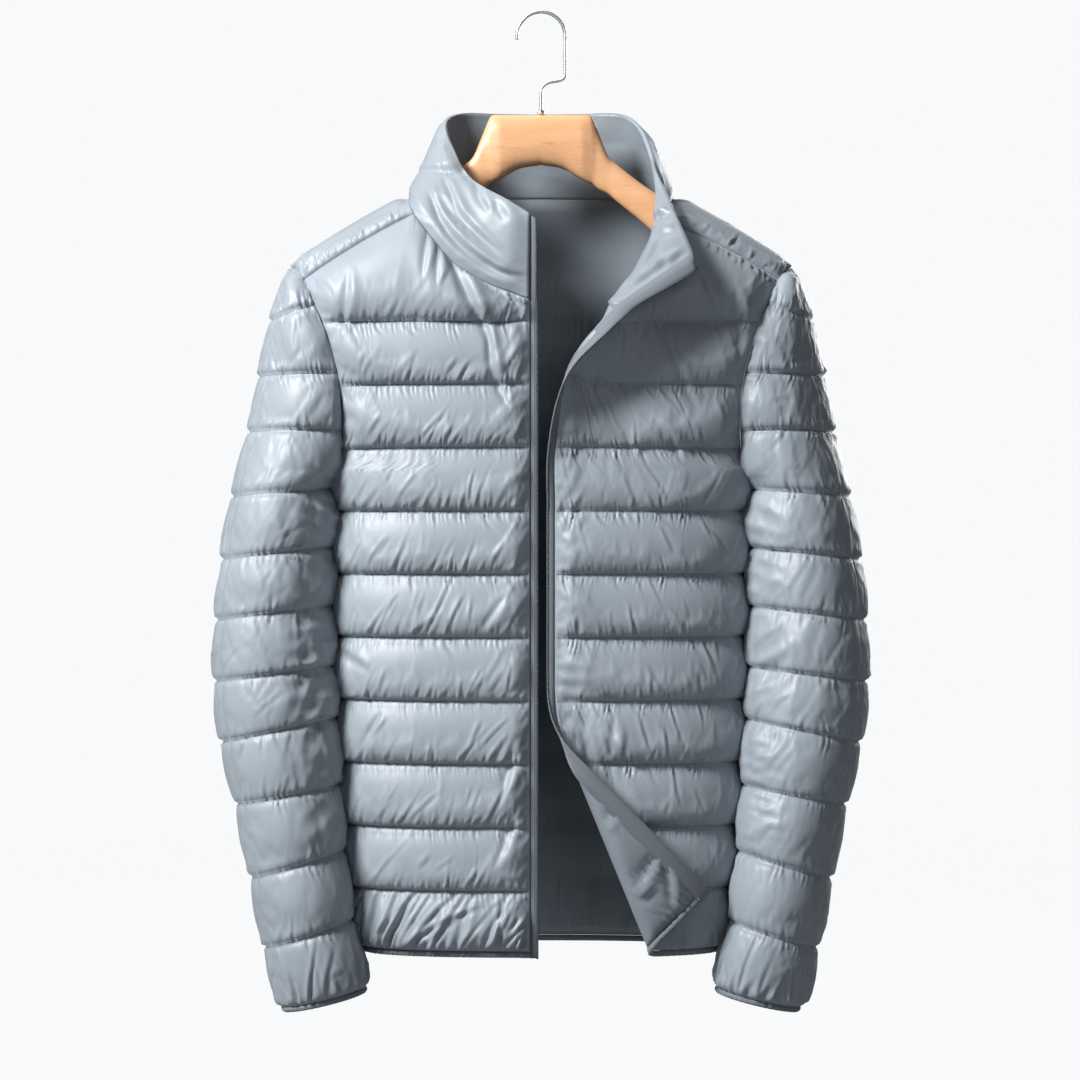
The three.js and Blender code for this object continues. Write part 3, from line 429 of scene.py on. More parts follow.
@dataclass(frozen=True)
class CornerFold:
    """The lower left front's corner, folded outwards over its own face."""

    @property
    def across(self) -> np.ndarray:
        """Direction square to the fold, towards the corner, in x and z."""
        d = np.subtract(FORM.fold_foot, FORM.fold_top)
        d = d / np.linalg.norm(d)
        return np.array([d[1], -d[0]])

    def past(self, p: np.ndarray) -> np.ndarray:
        """How far points lie past the start of the bend."""
        start = np.array(FORM.fold_top) - FORM.fold_radius * self.across
        return (p[..., 0] - start[0]) * self.across[0] + (p[..., 2] - start[1]) * self.across[1]

    def apply(self, p: np.ndarray) -> np.ndarray:
        """Bends the points that lie past the fold.

        Args:
            p: points of the unfolded front.

        Returns:
            The same points, folded.
        """
        past = np.maximum(self.past(p), 0.0)
        turn = np.minimum(past / FORM.fold_radius, FORM.fold_turn)
        rest = past - turn * FORM.fold_radius
        reach = FORM.fold_radius * np.sin(turn) + rest * np.cos(turn)
        lift = FORM.fold_radius * (1 - np.cos(turn)) + rest * np.sin(turn)
        x = p[..., 0] + (reach - past) * self.across[0]
        z = p[..., 2] + (reach - past) * self.across[1]
        n = FORM.section_power
        rows = [BODY.at(float(v)) for v in z]
        width = np.array([r["half_width"] for r in rows])
        front = np.array([r["front"] for r in rows])
        depth = front * np.maximum(0.0, 1 - (np.abs(x) / width) ** n) ** (1 / n)
        out = np.stack([x, -depth - lift, z], axis=-1)
        return np.where((past > 0)[..., None], out, p)


FOLD = CornerFold()


# Colour and material


def linear(code: str) -> tuple[float, float, float, float]:
    """An sRGB hex colour as linear red, green, blue and alpha."""
    parts = [int(code[i:i + 2], 16) / 255 for i in (1, 3, 5)]
    parts = [c / 12.92 if c <= 0.04045 else ((c + 0.055) / 1.055) ** 2.4 for c in parts]
    return (*parts, 1.0)


def add_node(tree: NodeTree, kind: str, values: dict | None = None, links: dict | None = None,
             **settings) -> Node:
    """Adds one node with its settings, its sockets' values and its links.

    Args:
        tree: the node tree.
        kind: the node's type name.
        values: default value by input name or index.
        links: source socket by input name or index.
        **settings: the node's own properties.

    Returns:
        The node.
    """
    node = tree.nodes.new(kind)
    for name, value in settings.items():
        setattr(node, name, value)
    for key, value in (values or {}).items():
        node.inputs[key].default_value = value
    for key, source in (links or {}).items():
        tree.links.new(source, node.inputs[key])
    return node


def new_material(name: str) -> Material:
    """A material with an empty node tree."""
    material = bpy.data.materials.new(name)
    material.use_nodes = True
    material.node_tree.nodes.clear()
    return material


def noise(tree: NodeTree, place: NodeSocket, **values: float) -> NodeSocket:
    """The value of a noise pattern laid on coordinates."""
    return add_node(tree, "ShaderNodeTexNoise", values, {"Vector": place}).outputs["Fac"]


def blend(tree: NodeTree, factor: NodeSocket, dark: tuple[float, ...],
          light: tuple[float, ...]) -> NodeSocket:
    """A colour between two, by a factor."""
    return add_node(
        tree, "ShaderNodeMix", {6: dark, 7: light}, {"Factor": factor}, data_type="RGBA").outputs[2]


def spread(tree: NodeTree, value: NodeSocket, low: float, high: float) -> NodeSocket:
    """A value of 0 to 1, spread from low to high."""
    return add_node(
        tree, "ShaderNodeMapRange", {"To Min": low, "To Max": high}, {"Value": value}).outputs["Result"]


def bump(tree: NodeTree, height: NodeSocket, strength: float, deep_mm: float,
         under: NodeSocket | None = None) -> NodeSocket:
    """A normal tilted by a height pattern.

    Args:
        tree: the node tree.
        height: the pattern.
        strength: share of the bump.
        deep_mm: its depth in millimetres.
        under: the normal of a coarser bump that it lies on.

    Returns:
        The normal.
    """
    links = {"Height": height} if under is None else {"Height": height, "Normal": under}
    return add_node(
        tree, "ShaderNodeBump", {"Strength": strength, "Distance": deep_mm * MM}, links).outputs["Normal"]


def dress(tree: NodeTree, values: dict, links: dict) -> None:
    """Ends a material's tree with one principled shader."""
    shader = add_node(tree, "ShaderNodeBsdfPrincipled", values, links)
    add_node(tree, "ShaderNodeOutputMaterial", links={"Surface": shader.outputs["BSDF"]})


@dataclass(frozen=True)
class NylonFinish:
    """Calendered nylon taffeta: a thin, closely woven shell with a satin shine and fine creases."""

    name: str = "calendered_nylon_taffeta"
    light: str = "#9ba4ac"
    dark: str = "#848d95"
    roughness: float = 0.46
    sheen: float = 0.2
    shine: float = 0.48
    cloud_mm: float = 1000 / 14
    crinkle_mm: float = 8.0
    grain_mm: float = 1.3
    crinkle: float = 0.12

    def build(self) -> Material:
        """Makes the material.

        Returns:
            The material.
        """
        m = new_material(self.name)
        t = m.node_tree
        place = add_node(t, "ShaderNodeTexCoord").outputs["Object"]
        # The dye takes a little unevenly, which keeps large panels from looking flat.
        cloud = noise(t, place, Scale=1 / (self.cloud_mm * MM), Detail=3.0)
        tone = blend(t, cloud, linear(self.dark), linear(self.light))
        # Small creases left by the padding break the highlight up.
        crease = noise(
            t, place, Scale=1 / (self.crinkle_mm * MM), Detail=4.0, Roughness=0.55, Distortion=0.6)
        # Thread pairs, drawn near 1.3 mm because the real 0.2 mm ones don't show at this distance.
        grain = noise(t, place, Scale=1 / (self.grain_mm * MM), Detail=1.0)
        normal = bump(t, grain, 0.12, 0.15, under=bump(t, crease, self.crinkle, 0.9))
        rough = spread(t, crease, self.roughness - 0.06, self.roughness + 0.08)
        dress(
            t, {"IOR": 1.5, "Specular IOR Level": self.shine, "Sheen Weight": self.sheen,
                "Sheen Roughness": 0.4},
            {"Base Color": tone, "Roughness": rough, "Normal": normal})
        return m


@dataclass(frozen=True)
class KnitFinish:
    """Knitted elastic or woven tape: matte, with ribs along its length and painted shade in their grooves.
    """

    name: str
    colour: str
    rib_mm: float
    roughness: float = 0.75
    depth: float = 0.5
    # Share of the colour kept in the rib's grooves, as painted shade.
    groove_shade: float = 0.7

    def build(self) -> Material:
        """Makes the material.

        Returns:
            The material.
        """
        m = new_material(self.name)
        t = m.node_tree
        cloth = add_node(t, "ShaderNodeUVMap", uv_map="cloth").outputs["UV"]
        # At scale 1 the wave repeats about every third of a metre, hence the divisor.
        rib = add_node(
            t, "ShaderNodeTexWave", {"Scale": 1 / (self.rib_mm * MM) / 3.2, "Distortion": 0.3},
            {"Vector": cloth}, bands_direction="Y").outputs["Fac"]
        base = linear(self.colour)
        # The grooves between the ribs take a darker copy of the colour: painted shade in the recesses.
        groove_shade = (*(self.groove_shade * c for c in base[:3]), 1)
        dress(
            t, {"Roughness": self.roughness, "Sheen Weight": 0.2},
            {"Base Color": blend(t, rib, groove_shade, base), "Normal": bump(t, rib, self.depth, 0.4)})
        return m


@dataclass(frozen=True)
class PlainFinish:
    """A moulded or spun surface of one colour, with a faint unevenness in its shine."""

    name: str
    colour: str
    roughness: float
    metallic: float = 0.0
    grain_mm: float = 2.0

    def build(self) -> Material:
        """Makes the material.

        Returns:
            The material.
        """
        m = new_material(self.name)
        t = m.node_tree
        place = add_node(t, "ShaderNodeTexCoord").outputs["Object"]
        haze = noise(t, place, Scale=1 / (self.grain_mm * MM), Detail=2.0)
        dress(
            t, {"Base Color": linear(self.colour), "Metallic": self.metallic},
            {"Roughness": spread(t, haze, self.roughness * 0.8, self.roughness * 1.25),
             "Normal": bump(t, haze, 0.08, 0.1)})
        return m


@dataclass(frozen=True)
class BeechFinish:
    """Steamed beech under satin lacquer: warm, close-grained, with short dark flecks along X."""

    name: str = "steamed_beech_lacquered"
    light: str = "#efbd91"
    dark: str = "#d99c6b"
    fleck: str = "#a86a3c"
    ring_mm: float = 9.0
    ring_squeeze: float = 0.12
    fleck_mm: float = 1000 / 900
    fleck_squeeze: float = 0.08

    def build(self) -> Material:
        """Makes the material.

        Returns:
            The material.
        """
        m = new_material(self.name)
        t = m.node_tree
        place = add_node(t, "ShaderNodeTexCoord").outputs["Object"]
        # Growth rings and flecks are drawn out along the plank, so X is squeezed.
        along, thin = (
            add_node(t, "ShaderNodeMapping", {"Scale": (x, 1.0, 1.0)}, {"Vector": place}).outputs["Vector"]
            for x in (self.ring_squeeze, self.fleck_squeeze))
        ring = noise(t, along, Scale=1 / (self.ring_mm * MM), Detail=4.0, Distortion=0.8)
        fleck = noise(t, thin, Scale=1 / (self.fleck_mm * MM), Detail=1.0)
        spot = add_node(
            t, "ShaderNodeMapRange", {"From Min": 0.62, "From Max": 0.75, "To Min": 0.0, "To Max": 0.35},
            {"Value": fleck}).outputs["Result"]
        wood = add_node(
            t, "ShaderNodeMix", {7: linear(self.fleck)},
            {"Factor": spot, 6: blend(t, ring, linear(self.dark), linear(self.light))}, data_type="RGBA")
        dress(
            t, {"Roughness": 0.42, "Coat Weight": 0.25, "Coat Roughness": 0.25},
            {"Base Color": wood.outputs[2], "Normal": bump(t, fleck, 0.1, 0.1)})
        return m


# Meshes


def mesh_object(name: str, points: np.ndarray, faces: list, materials: list[Material],
                indices: list[int] | None = None, uv: np.ndarray | None = None) -> Object:
    """Makes a smooth-shaded mesh object at the origin.

    Args:
        name: the object's name.
        points: vertices in millimetres.
        faces: tuples of vertex numbers.
        materials: its materials.
        indices: the material number of each face.
        uv: cloth coordinates in metres for each vertex.

    Returns:
        The object.
    """
    mesh = bpy.data.meshes.new(name)
    mesh.from_pydata((points * MM).tolist(), [], faces)
    for material in materials:
        mesh.materials.append(material)
    if indices is not None:
        mesh.polygons.foreach_set("material_index", np.asarray(indices, dtype=np.int32))
    mesh.polygons.foreach_set("use_smooth", np.ones(len(mesh.polygons), dtype=bool))
    if uv is not None:
        layer = mesh.uv_layers.new(name="cloth")
        corners = np.empty(len(mesh.loops), dtype=np.int32)
        mesh.loops.foreach_get("vertex_index", corners)
        layer.data.foreach_set("uv", uv[corners].astype(np.float32).ravel())
    mesh.update()
    obj = bpy.data.objects.new(name, mesh)
    bpy.context.scene.collection.objects.link(obj)
    return obj


def hand_over(obj: Object, node: str | None = None) -> Object:
    """Gives a finished piece its place in the frame.

    Args:
        obj: the piece.
        node: the node that it stands for, if it stands for one.

    Returns:
        The piece.
    """
    if node:
        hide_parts(node)
    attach(obj, "root")
    LOG.info("%s: %d faces", obj.name, len(obj.data.polygons))
    return obj


def grid_faces(rows: int, columns: int, start: int, flip: bool) -> list[tuple[int, ...]]:
    """Quads of a grid of vertices numbered row by row.

    Args:
        rows: number of rows of vertices.
        columns: number of vertices in a row.
        start: number of the first vertex.
        flip: turns the faces over.

    Returns:
        The quads.
    """
    i, j = np.meshgrid(np.arange(rows - 1), np.arange(columns - 1), indexing="ij")
    a = (start + i * columns + j).ravel()
    quads = np.stack([a, a + 1, a + columns + 1, a + columns], axis=1)
    if flip:
        quads = quads[:, ::-1]
    return [tuple(q) for q in quads.tolist()]


def tube_faces(rings: int, sides: int, start: int = 0, closed: bool = False) -> list[tuple[int, ...]]:
    """Quads round a tube of rings, with a cap on each open end.

    Args:
        rings: number of rings.
        sides: number of vertices in a ring.
        start: number of the first vertex.
        closed: joins the last ring to the first, with no caps.

    Returns:
        The faces.
    """
    faces = []
    for i in range(rings if closed else rings - 1):
        a, b = start + i * sides, start + ((i + 1) % rings) * sides
        for k in range(sides):
            after = (k + 1) % sides
            faces.append((a + k, a + after, b + after, b + k))
    if not closed:
        faces.append(tuple(range(start, start + sides))[::-1])
        faces.append(tuple(start + (rings - 1) * sides + k for k in range(sides)))
    return faces


def grid_normals(points: np.ndarray, outward: float) -> np.ndarray:
    """Unit normals of a grid of points.

    Args:
        points: rows by columns by 3.
        outward: 1 or -1, the sign that points out of the jacket.

    Returns:
        The normals, in the same shape.
    """
    across = np.gradient(points, axis=1)
    up = np.gradient(points, axis=0)
    return unit(np.cross(across, up)) * outward


def resample(field_values: np.ndarray, rows: np.ndarray, columns: np.ndarray,
             new_rows: np.ndarray, new_columns: np.ndarray) -> np.ndarray:
    """Reads a grid of vectors at a finer set of rows and columns.

    Args:
        field_values: rows by columns by 3.
        rows: row coordinate of each row.
        columns: column coordinate of each column.
        new_rows: row coordinates wanted.
        new_columns: column coordinates wanted.

    Returns:
        The values there.
    """
    def cubic(values: np.ndarray, keys: np.ndarray, wanted: np.ndarray) -> np.ndarray:
        """Catmull-Rom along the first axis, for nearly even keys.

        Args:
            values: the grid.
            keys: coordinate of each of its first axis's places.
            wanted: coordinates wanted.

        Returns:
            The values there.
        """
        i = np.clip(np.searchsorted(keys, wanted, side="right") - 1, 0, len(keys) - 2)
        t = np.clip((wanted - keys[i]) / (keys[i + 1] - keys[i]), 0, 1)
        t = t.reshape((-1,) + (1,) * (values.ndim - 1))
        a = values[np.maximum(i - 1, 0)]
        b, c = values[i], values[i + 1]
        d = values[np.minimum(i + 2, len(keys) - 1)]
        return 0.5 * (
            2 * b + (c - a) * t + (2 * a - 5 * b + 4 * c - d) * t**2 + (3 * b - a - 3 * c + d) * t**3
        )
    tall = cubic(field_values, rows, new_rows)
    return np.swapaxes(cubic(np.swapaxes(tall, 0, 1), columns, new_columns), 0, 1)


@dataclass(frozen=True)
class Fold:
    """A main crease: a soft trough with a ridge beside it, along points of x, z."""

    path: tuple[tuple[float, float], ...]
    depth: float = 2.0
    width: float = 4.0

    def height(self, x: np.ndarray, z: np.ndarray) -> np.ndarray:
        """Height that the crease adds.

        Args:
            x: positions across the front.
            z: heights.

        Returns:
            Millimetres, in the same shape.
        """
        line = Spline([(a, 0.0, b) for a, b in self.path])
        points = line.at(np.linspace(0, line.last, 6 * line.last + 1))[:, [0, 2]]
        nearest = np.full(x.shape, np.inf)
        signed, along = np.zeros(x.shape), np.zeros(x.shape)
        for k, (start, end) in enumerate(zip(points[:-1], points[1:])):
            span = end - start
            size = float(span @ span)
            t = np.clip(((x - start[0]) * span[0] + (z - start[1]) * span[1]) / size, 0, 1)
            dx, dz = x - start[0] - t * span[0], z - start[1] - t * span[1]
            distance = np.hypot(dx, dz)
            closer = distance < nearest
            side = np.sign(span[0] * dz - span[1] * dx)
            nearest = np.where(closer, distance, nearest)
            signed = np.where(closer, side * distance, signed)
            along = np.where(closer, (k + t) / (len(points) - 1), along)
        fade = np.sin(math.pi * np.clip(along, 0.0, 1.0)) ** 0.7
        width = self.width * (0.55 + 0.6 * fade)
        ridge = bell(signed - 1.9 * width, 1.25 * width)
        return self.depth * fade * (0.8 * ridge - bell(signed, width))


@dataclass(frozen=True)
class Crumple:
    """A patch of sharp little folds where the cloth is pinched, as at an elbow."""

    centre: tuple[float, float]
    reach: tuple[float, float]
    height: float = 2.0
    grain: float = 16.0
    seed: int = 5

    def raise_by(self, x: np.ndarray, z: np.ndarray) -> np.ndarray:
        """Height that the patch adds.

        Args:
            x: positions across the front.
            z: heights.

        Returns:
            Millimetres, in the same shape.
        """
        rng = np.random.default_rng(self.seed)
        total = np.zeros(x.shape)
        for k in range(4):
            turn = rng.uniform(0, math.pi)
            wave = 2 * math.pi / (self.grain * rng.uniform(0.7, 1.6))
            bend = 1.2 * np.sin(x / 19 + 3 * k) + 1.2 * np.sin(z / 23 + 2 * k)
            total += 0.5 - np.abs(np.sin(0.5 * wave * (x * math.cos(turn) + z * math.sin(turn)) + bend))
        window = ((x - self.centre[0]) / self.reach[0]) ** 2 + ((z - self.centre[1]) / self.reach[1]) ** 2
        return self.height * 0.5 * total * np.exp(-window)


@dataclass
class Creases:
    """How a cloth piece wrinkles, in millimetres and in degrees from the viewer's right."""

    seed: int = 1
    pucker_height: float = 1.1
    pucker_length: float = 4.0
    pucker_reach: float = 2.3
    slant: float = 0.25
    spacing: float = 8.0
    height: float = 1.8
    above: float = 9.0
    below: float = 7.0
    angle_above: float = 80.0
    angle_below: float = 80.0
    angle_spread: float = 9.0
    length_spread: float = 0.5
    widths: tuple[float, float] = (0.95, 1.7)
    heights: tuple[float, float] = (0.35, 1.15)
    steps: tuple[float, float] = (0.35, 1.7)
    gather: float = 0.0
    drag_height: float = 0.9
    drag_count: int = 4
    drag_angle: float = 35.0
    drag_spread: float = 12.0
    drag_lengths: tuple[float, float] = (6.0, 17.0)
    drag_widths: tuple[float, float] = (1.3, 2.3)
    drag_bend: float = 0.003
    folds: tuple[Fold, ...] = ()
    crumples: tuple[Crumple, ...] = ()


# The simulation takes every second point of a grid, shaken a little so that it buckles unevenly (mm).
COARSE = 2
SHAKE = 0.12
SETTLE_FRAMES = 18
CACHE_FRAMES = 30
LIGHT_NYLON = {
    "quality": 5, "mass": 0.15, "tension_stiffness": 25, "compression_stiffness": 25,
    "shear_stiffness": 6, "bending_stiffness": 0.02, "air_damping": 2,
}


@dataclass
class QuiltPiece:
    """One cloth panel: a plain lining face and a padded outer face stitched down along its rows."""

    name: str
    outward: float
    rows: int
    crown: float = 9.6
    outer_columns: int = 120
    steps: int = 24
    end_gap: float = 0.0008
    edge_taper: float = 15.0
    last_taper: float = 15.0
    sag: float = 0.84
    fullness: float = 0.6
    swell: float = 0.03
    pressure: float = 8.0
    cap: float = 2.6
    settled: float = 0.5
    quilted: bool = True
    lining_puff: float = 1.8
    plain_top: float = 0.9
    lining_folds: tuple[Fold, ...] = ()
    to_viewer_right: float = 1.0
    creases: Creases = field(default_factory=Creases)

    def line(self, g: float, u: np.ndarray) -> np.ndarray:
        """Lining points of one row; each piece gives its own."""
        raise NotImplementedError

    def crown_scale(self, g: float, u: np.ndarray) -> np.ndarray:
        """Share of the full crown along a row."""
        return np.ones_like(u)

    def lining_scale(self) -> np.ndarray:
        """Share of the puff and wrinkles that the lining keeps."""
        return np.ones((len(self.g), len(self.u)))

    def seam_floor(self, g: np.ndarray) -> tuple[np.ndarray, np.ndarray]:
        """Share of the crown that stays at the first and the last column."""
        return np.zeros_like(g), np.zeros_like(g)

    def row_floor(self) -> tuple[float, float]:
        """Share of the crown that stays at the lowest and the highest row."""
        return 0.0, 0.0

    def grid(self, g: np.ndarray, u: np.ndarray) -> np.ndarray:
        """Lining points of the whole piece."""
        return np.stack([self.line(float(row), u) for row in g])

    def rise(self, g: np.ndarray, u: np.ndarray, base: np.ndarray) -> np.ndarray:
        """Height of the padded face over its stitch lines.

        Args:
            g: row coordinates.
            u: column coordinates.
            base: the lining points.

        Returns:
            Heights in millimetres.
        """
        part = np.mod(g + 1e-9, 1.0)
        pillow = np.maximum(0, np.sin(math.pi * part**self.sag)) ** self.fullness
        pillow[np.isclose(part, 0, atol=1e-6)] = 0.0
        low, high = self.row_floor()
        pillow = np.where(g < 0.5, np.maximum(pillow, low), pillow)
        pillow = np.where(g > self.rows - 0.5, np.maximum(pillow, high), pillow)
        run = lengths(base, 1)
        first, last = self.seam_floor(g)
        taper = mix(first[:, None], 1.0, ease(run / self.edge_taper) ** 0.55)
        taper = taper * mix(last[:, None], 1.0, ease((run[:, -1:] - run) / self.last_taper) ** 0.55)
        scale = np.stack([self.crown_scale(float(row), u) for row in g])
        return self.crown * pillow[:, None] * taper * scale

    def build(self, shell: Material, lining: Material, simulate: bool) -> "QuiltPiece":
        """Makes the fine grids of the piece.

        Args:
            shell: outer material.
            lining: inner material.
            simulate: runs the cloth simulation for its padded face.

        Returns:
            The piece itself.
        """
        self.materials = [shell, lining]
        self.u = np.linspace(self.end_gap, 1 - self.end_gap, self.outer_columns)
        self.g = np.linspace(0, self.rows, self.rows * self.steps + 1)
        self.base = self.grid(self.g, self.u)
        self.normal = grid_normals(self.base, self.outward)
        self.lift = self.rise(self.g, self.u, self.base)
        self.relief = self.crease_height()
        self.shift = self.settle() if simulate else np.zeros_like(self.base)
        return self

    def settle(self) -> np.ndarray:
        """Lets the shell fabric, cut longer than its lining, buckle over the padding.

        Returns:
            How far each fine point moves.
        """
        coarse = np.s_[::COARSE, ::COARSE]
        rows, columns = self.g[::COARSE], self.u[::COARSE]
        normal = self.normal[coarse]
        start = self.base[coarse] + normal * (FORM.seam_wall + self.lift[coarse])[..., None]
        shape = start.shape[:2]
        shake = np.random.default_rng(self.creases.seed).normal(0, SHAKE, shape)
        held = np.zeros(shape, dtype=bool)
        held[np.isclose(rows, np.round(rows)) if self.quilted else [0, -1]] = True
        held[:, 0] = held[:, -1] = True
        shake[held] = 0
        start = start + normal * shake[..., None]
        obj = mesh_object(
            self.name + "_cloth", start.reshape(-1, 3),
            grid_faces(*shape, 0, self.outward < 0), [])
        group = obj.vertex_groups.new(name="stitched")
        group.add(np.flatnonzero(held.ravel()).tolist(), 1.0, "REPLACE")
        cloth = obj.modifiers.new("cloth", "CLOTH")
        for setting, value in LIGHT_NYLON.items():
            setattr(cloth.settings, setting, value)
        cloth.settings.vertex_group_mass = "stitched"
        cloth.settings.shrink_min = -self.swell
        cloth.settings.use_pressure = True
        cloth.settings.uniform_pressure_force = self.pressure
        cloth.settings.effector_weights.gravity = 0.4
        cloth.point_cache.frame_end = CACHE_FRAMES
        scene = bpy.context.scene
        for number in range(1, SETTLE_FRAMES + 1):
            scene.frame_set(number)
        graph = bpy.context.evaluated_depsgraph_get()
        result = obj.evaluated_get(graph).to_mesh()
        moved = np.empty(len(result.vertices) * 3)
        result.vertices.foreach_get("co", moved)
        moved = moved.reshape(*shape, 3) / MM - start
        obj.evaluated_get(graph).to_mesh_clear()
        bpy.data.objects.remove(obj, do_unlink=True)
        scene.frame_set(1)
        size = np.linalg.norm(moved, axis=2, keepdims=True)
        moved = moved * np.minimum(1, self.cap / np.maximum(size, 1e-9))
        LOG.info("%s settled: mean %.2f mm, most %.2f mm", self.name, float(size.mean()), float(size.max()))
        moved[held] = 0
        return self.settled * resample(moved, rows, columns, self.g, self.u)

    def crease_height(self) -> np.ndarray:
        """Heights of every crease over the padded face.

        Returns:
            Heights in millimetres.
        """
        c = self.creases
        run, rise = lengths(self.base, 1), lengths(self.base, 0)
        total = self.puckers(run, rise) + self.seam_creases(run, rise) + self.drag_creases(run, rise)
        part = np.abs(self.g - np.round(self.g))
        total *= ease(part / 0.06)[:, None]
        x, z = self.base[..., 0], self.base[..., 2]
        for fold in c.folds:
            total += fold.height(x, z)
        for patch in c.crumples:
            total += patch.raise_by(x, z)
        edge = np.minimum(run, run[:, -1:] - run)
        rim = ease(np.minimum(self.g, self.rows - self.g) / 0.08)[:, None]
        return np.maximum(total * ease(edge / 5.0) * rim, -0.9 * (self.lift + 1.0))

    def puckers(self, run: np.ndarray, rise: np.ndarray) -> np.ndarray:
        """Fine waves close to each stitch line.

        Args:
            run: distance along each row.
            rise: distance up each column.

        Returns:
            Heights in millimetres.
        """
        c = self.creases
        total = np.zeros_like(run)
        nearest = np.round(self.g).astype(int)
        for seam in range(self.rows + 1):
            mine = np.flatnonzero(nearest == seam)
            line = int(np.argmin(np.abs(self.g - seam)))
            away = rise[mine] - rise[line]
            x = run[mine] + c.slant * np.abs(away)
            strong = np.maximum(0.15, 0.6 + 0.7 * smooth_noise(x, 26.0, c.seed * 100 + seam))
            reach = c.pucker_reach * (1 + 0.5 * smooth_noise(x, 34.0, c.seed * 130 + seam))
            d = np.abs(away) / np.maximum(reach, 1.4)
            wave = smooth_noise(x, c.pucker_length, c.seed * 160 + seam, 14)
            total[mine] += c.pucker_height * strong * wave * d * np.exp(1 - d) * 0.9
        return total

    def seam_creases(self, run: np.ndarray, rise: np.ndarray) -> np.ndarray:
        """Slender creases that leave the stitch lines, long and dense where the edge is gathered.

        Args:
            run: distance along each row.
            rise: distance up each column.

        Returns:
            Heights in millimetres.
        """
        c = self.creases
        rng = np.random.default_rng(c.seed + 900)
        total = np.zeros_like(run)
        for seam in range(self.rows + 1):
            line = int(np.argmin(np.abs(self.g - seam)))
            for up in (-1, 1):
                if not 0 <= seam + up <= self.rows:
                    continue
                mine = np.flatnonzero((self.g - seam) * up >= 0)
                mine = mine[np.abs(self.g[mine] - seam) <= 1]
                away = np.abs(rise[mine] - rise[line])
                gathered = c.gather if seam == 0 else 0.0
                reach = (c.above if up > 0 else c.below) * (1 + 2.4 * gathered)
                slope = c.angle_above if up > 0 else c.angle_below
                x0 = rng.uniform(0, c.spacing)
                while x0 < run[line, -1]:
                    length = reach * rng.lognormal(0, c.length_spread)
                    turn = math.radians(slope + rng.normal(0, c.angle_spread))
                    wide = rng.uniform(*c.widths) * (1 + 0.5 * gathered)
                    high = c.height * rng.uniform(*c.heights) * min(1.0, length / 9) * (1 + gathered)
                    near = np.flatnonzero(np.abs(run[line] - x0) < 2.2 * length + 14)
                    dx = (run[np.ix_(mine, near)] - x0) * self.to_viewer_right
                    dy = away[:, near]
                    along = (dx * math.cos(turn) + dy * math.sin(turn)) / length
                    off = -dx * math.sin(turn) + dy * math.cos(turn)
                    off = off + rng.normal(0, 0.12) * along**2 * length
                    fade = ease(along * 5) * np.exp(-1.3 * np.maximum(along, 0) ** 2)
                    ridge = bell(off - 1.8 * wide, 1.15 * wide)
                    total[np.ix_(mine, near)] += high * fade * (0.85 * ridge - bell(off, wide))
                    x0 += c.spacing * rng.uniform(*c.steps) * (1 - 0.35 * gathered)
        return total

    def drag_creases(self, run: np.ndarray, rise: np.ndarray) -> np.ndarray:
        """Seeded slanting creases in the lower half of each channel.

        Args:
            run: distance along each row.
            rise: distance up each column.

        Returns:
            Heights in millimetres.
        """
        c = self.creases
        rng = np.random.default_rng(c.seed + 5000)
        total = np.zeros_like(run)
        for channel in range(self.rows):
            mine = np.flatnonzero((self.g >= channel) & (self.g <= channel + 1))
            width = float(run[mine[0], -1])
            tall = float(rise[mine[-1]].mean() - rise[mine[0]].mean())
            for _ in range(max(1, round(c.drag_count * width / 190))):
                x0 = rng.uniform(0.04, 0.96) * width
                y0 = rng.uniform(0.08, 0.6) * tall
                angle = math.radians(c.drag_angle + rng.normal(0, c.drag_spread))
                length = rng.uniform(*c.drag_lengths)
                wide = rng.uniform(*c.drag_widths)
                height = c.drag_height * rng.uniform(0.4, 1.1)
                dx = (run[mine] - x0) * self.to_viewer_right
                dy = rise[mine] - rise[mine[0]] - y0
                along = dx * math.cos(angle) + dy * math.sin(angle)
                off = -dx * math.sin(angle) + dy * math.cos(angle) + c.drag_bend * along**2
                fade = np.exp(-((along / length) ** 4))
                total[mine] += height * fade * (bell(off, wide) - 0.8 * bell(off + 1.7 * wide, wide))
        return total

    def outer(self) -> np.ndarray:
        """Points of the padded face."""
        height = FORM.seam_wall + self.lift + self.relief
        return self.base + self.normal * height[..., None] + self.shift

    def wall(self) -> Object:
        """Closes the piece and hands it to the frame.

        Returns:
            The finished object.
        """
        outer = self.outer()
        stride = 2 if self.lining_folds else 4
        rows = np.arange(0, len(self.g), stride)
        inner = self.inner()[rows]
        r, k = outer.shape[:2]
        points = np.concatenate([outer.reshape(-1, 3), inner.reshape(-1, 3)])
        start = r * k
        faces = grid_faces(r, k, 0, self.outward < 0)
        lining = grid_faces(len(rows), k, start, self.outward > 0)
        rim = []
        for j in range(k - 1):
            rim.append((j, start + j, start + j + 1, j + 1))
            top, under = (r - 1) * k + j, start + (len(rows) - 1) * k + j
            rim.append((top, top + 1, under + 1, under))
        for a in range(len(rows) - 1):
            for column, turn in ((0, False), (k - 1, True)):
                low, high = start + a * k + column, start + (a + 1) * k + column
                chain = [i * k + column for i in range(rows[a], rows[a + 1] + 1)]
                ring = (*chain, high, low)
                rim.append(ring[::-1] if turn else ring)
        if self.outward < 0:
            rim = [face[::-1] for face in rim]
        indices = [0] * len(faces) + [1] * len(lining) + [0] * len(rim)
        obj = mesh_object(self.name, points, faces + lining + rim, self.materials, indices)
        hand_over(obj, self.name)
        return obj

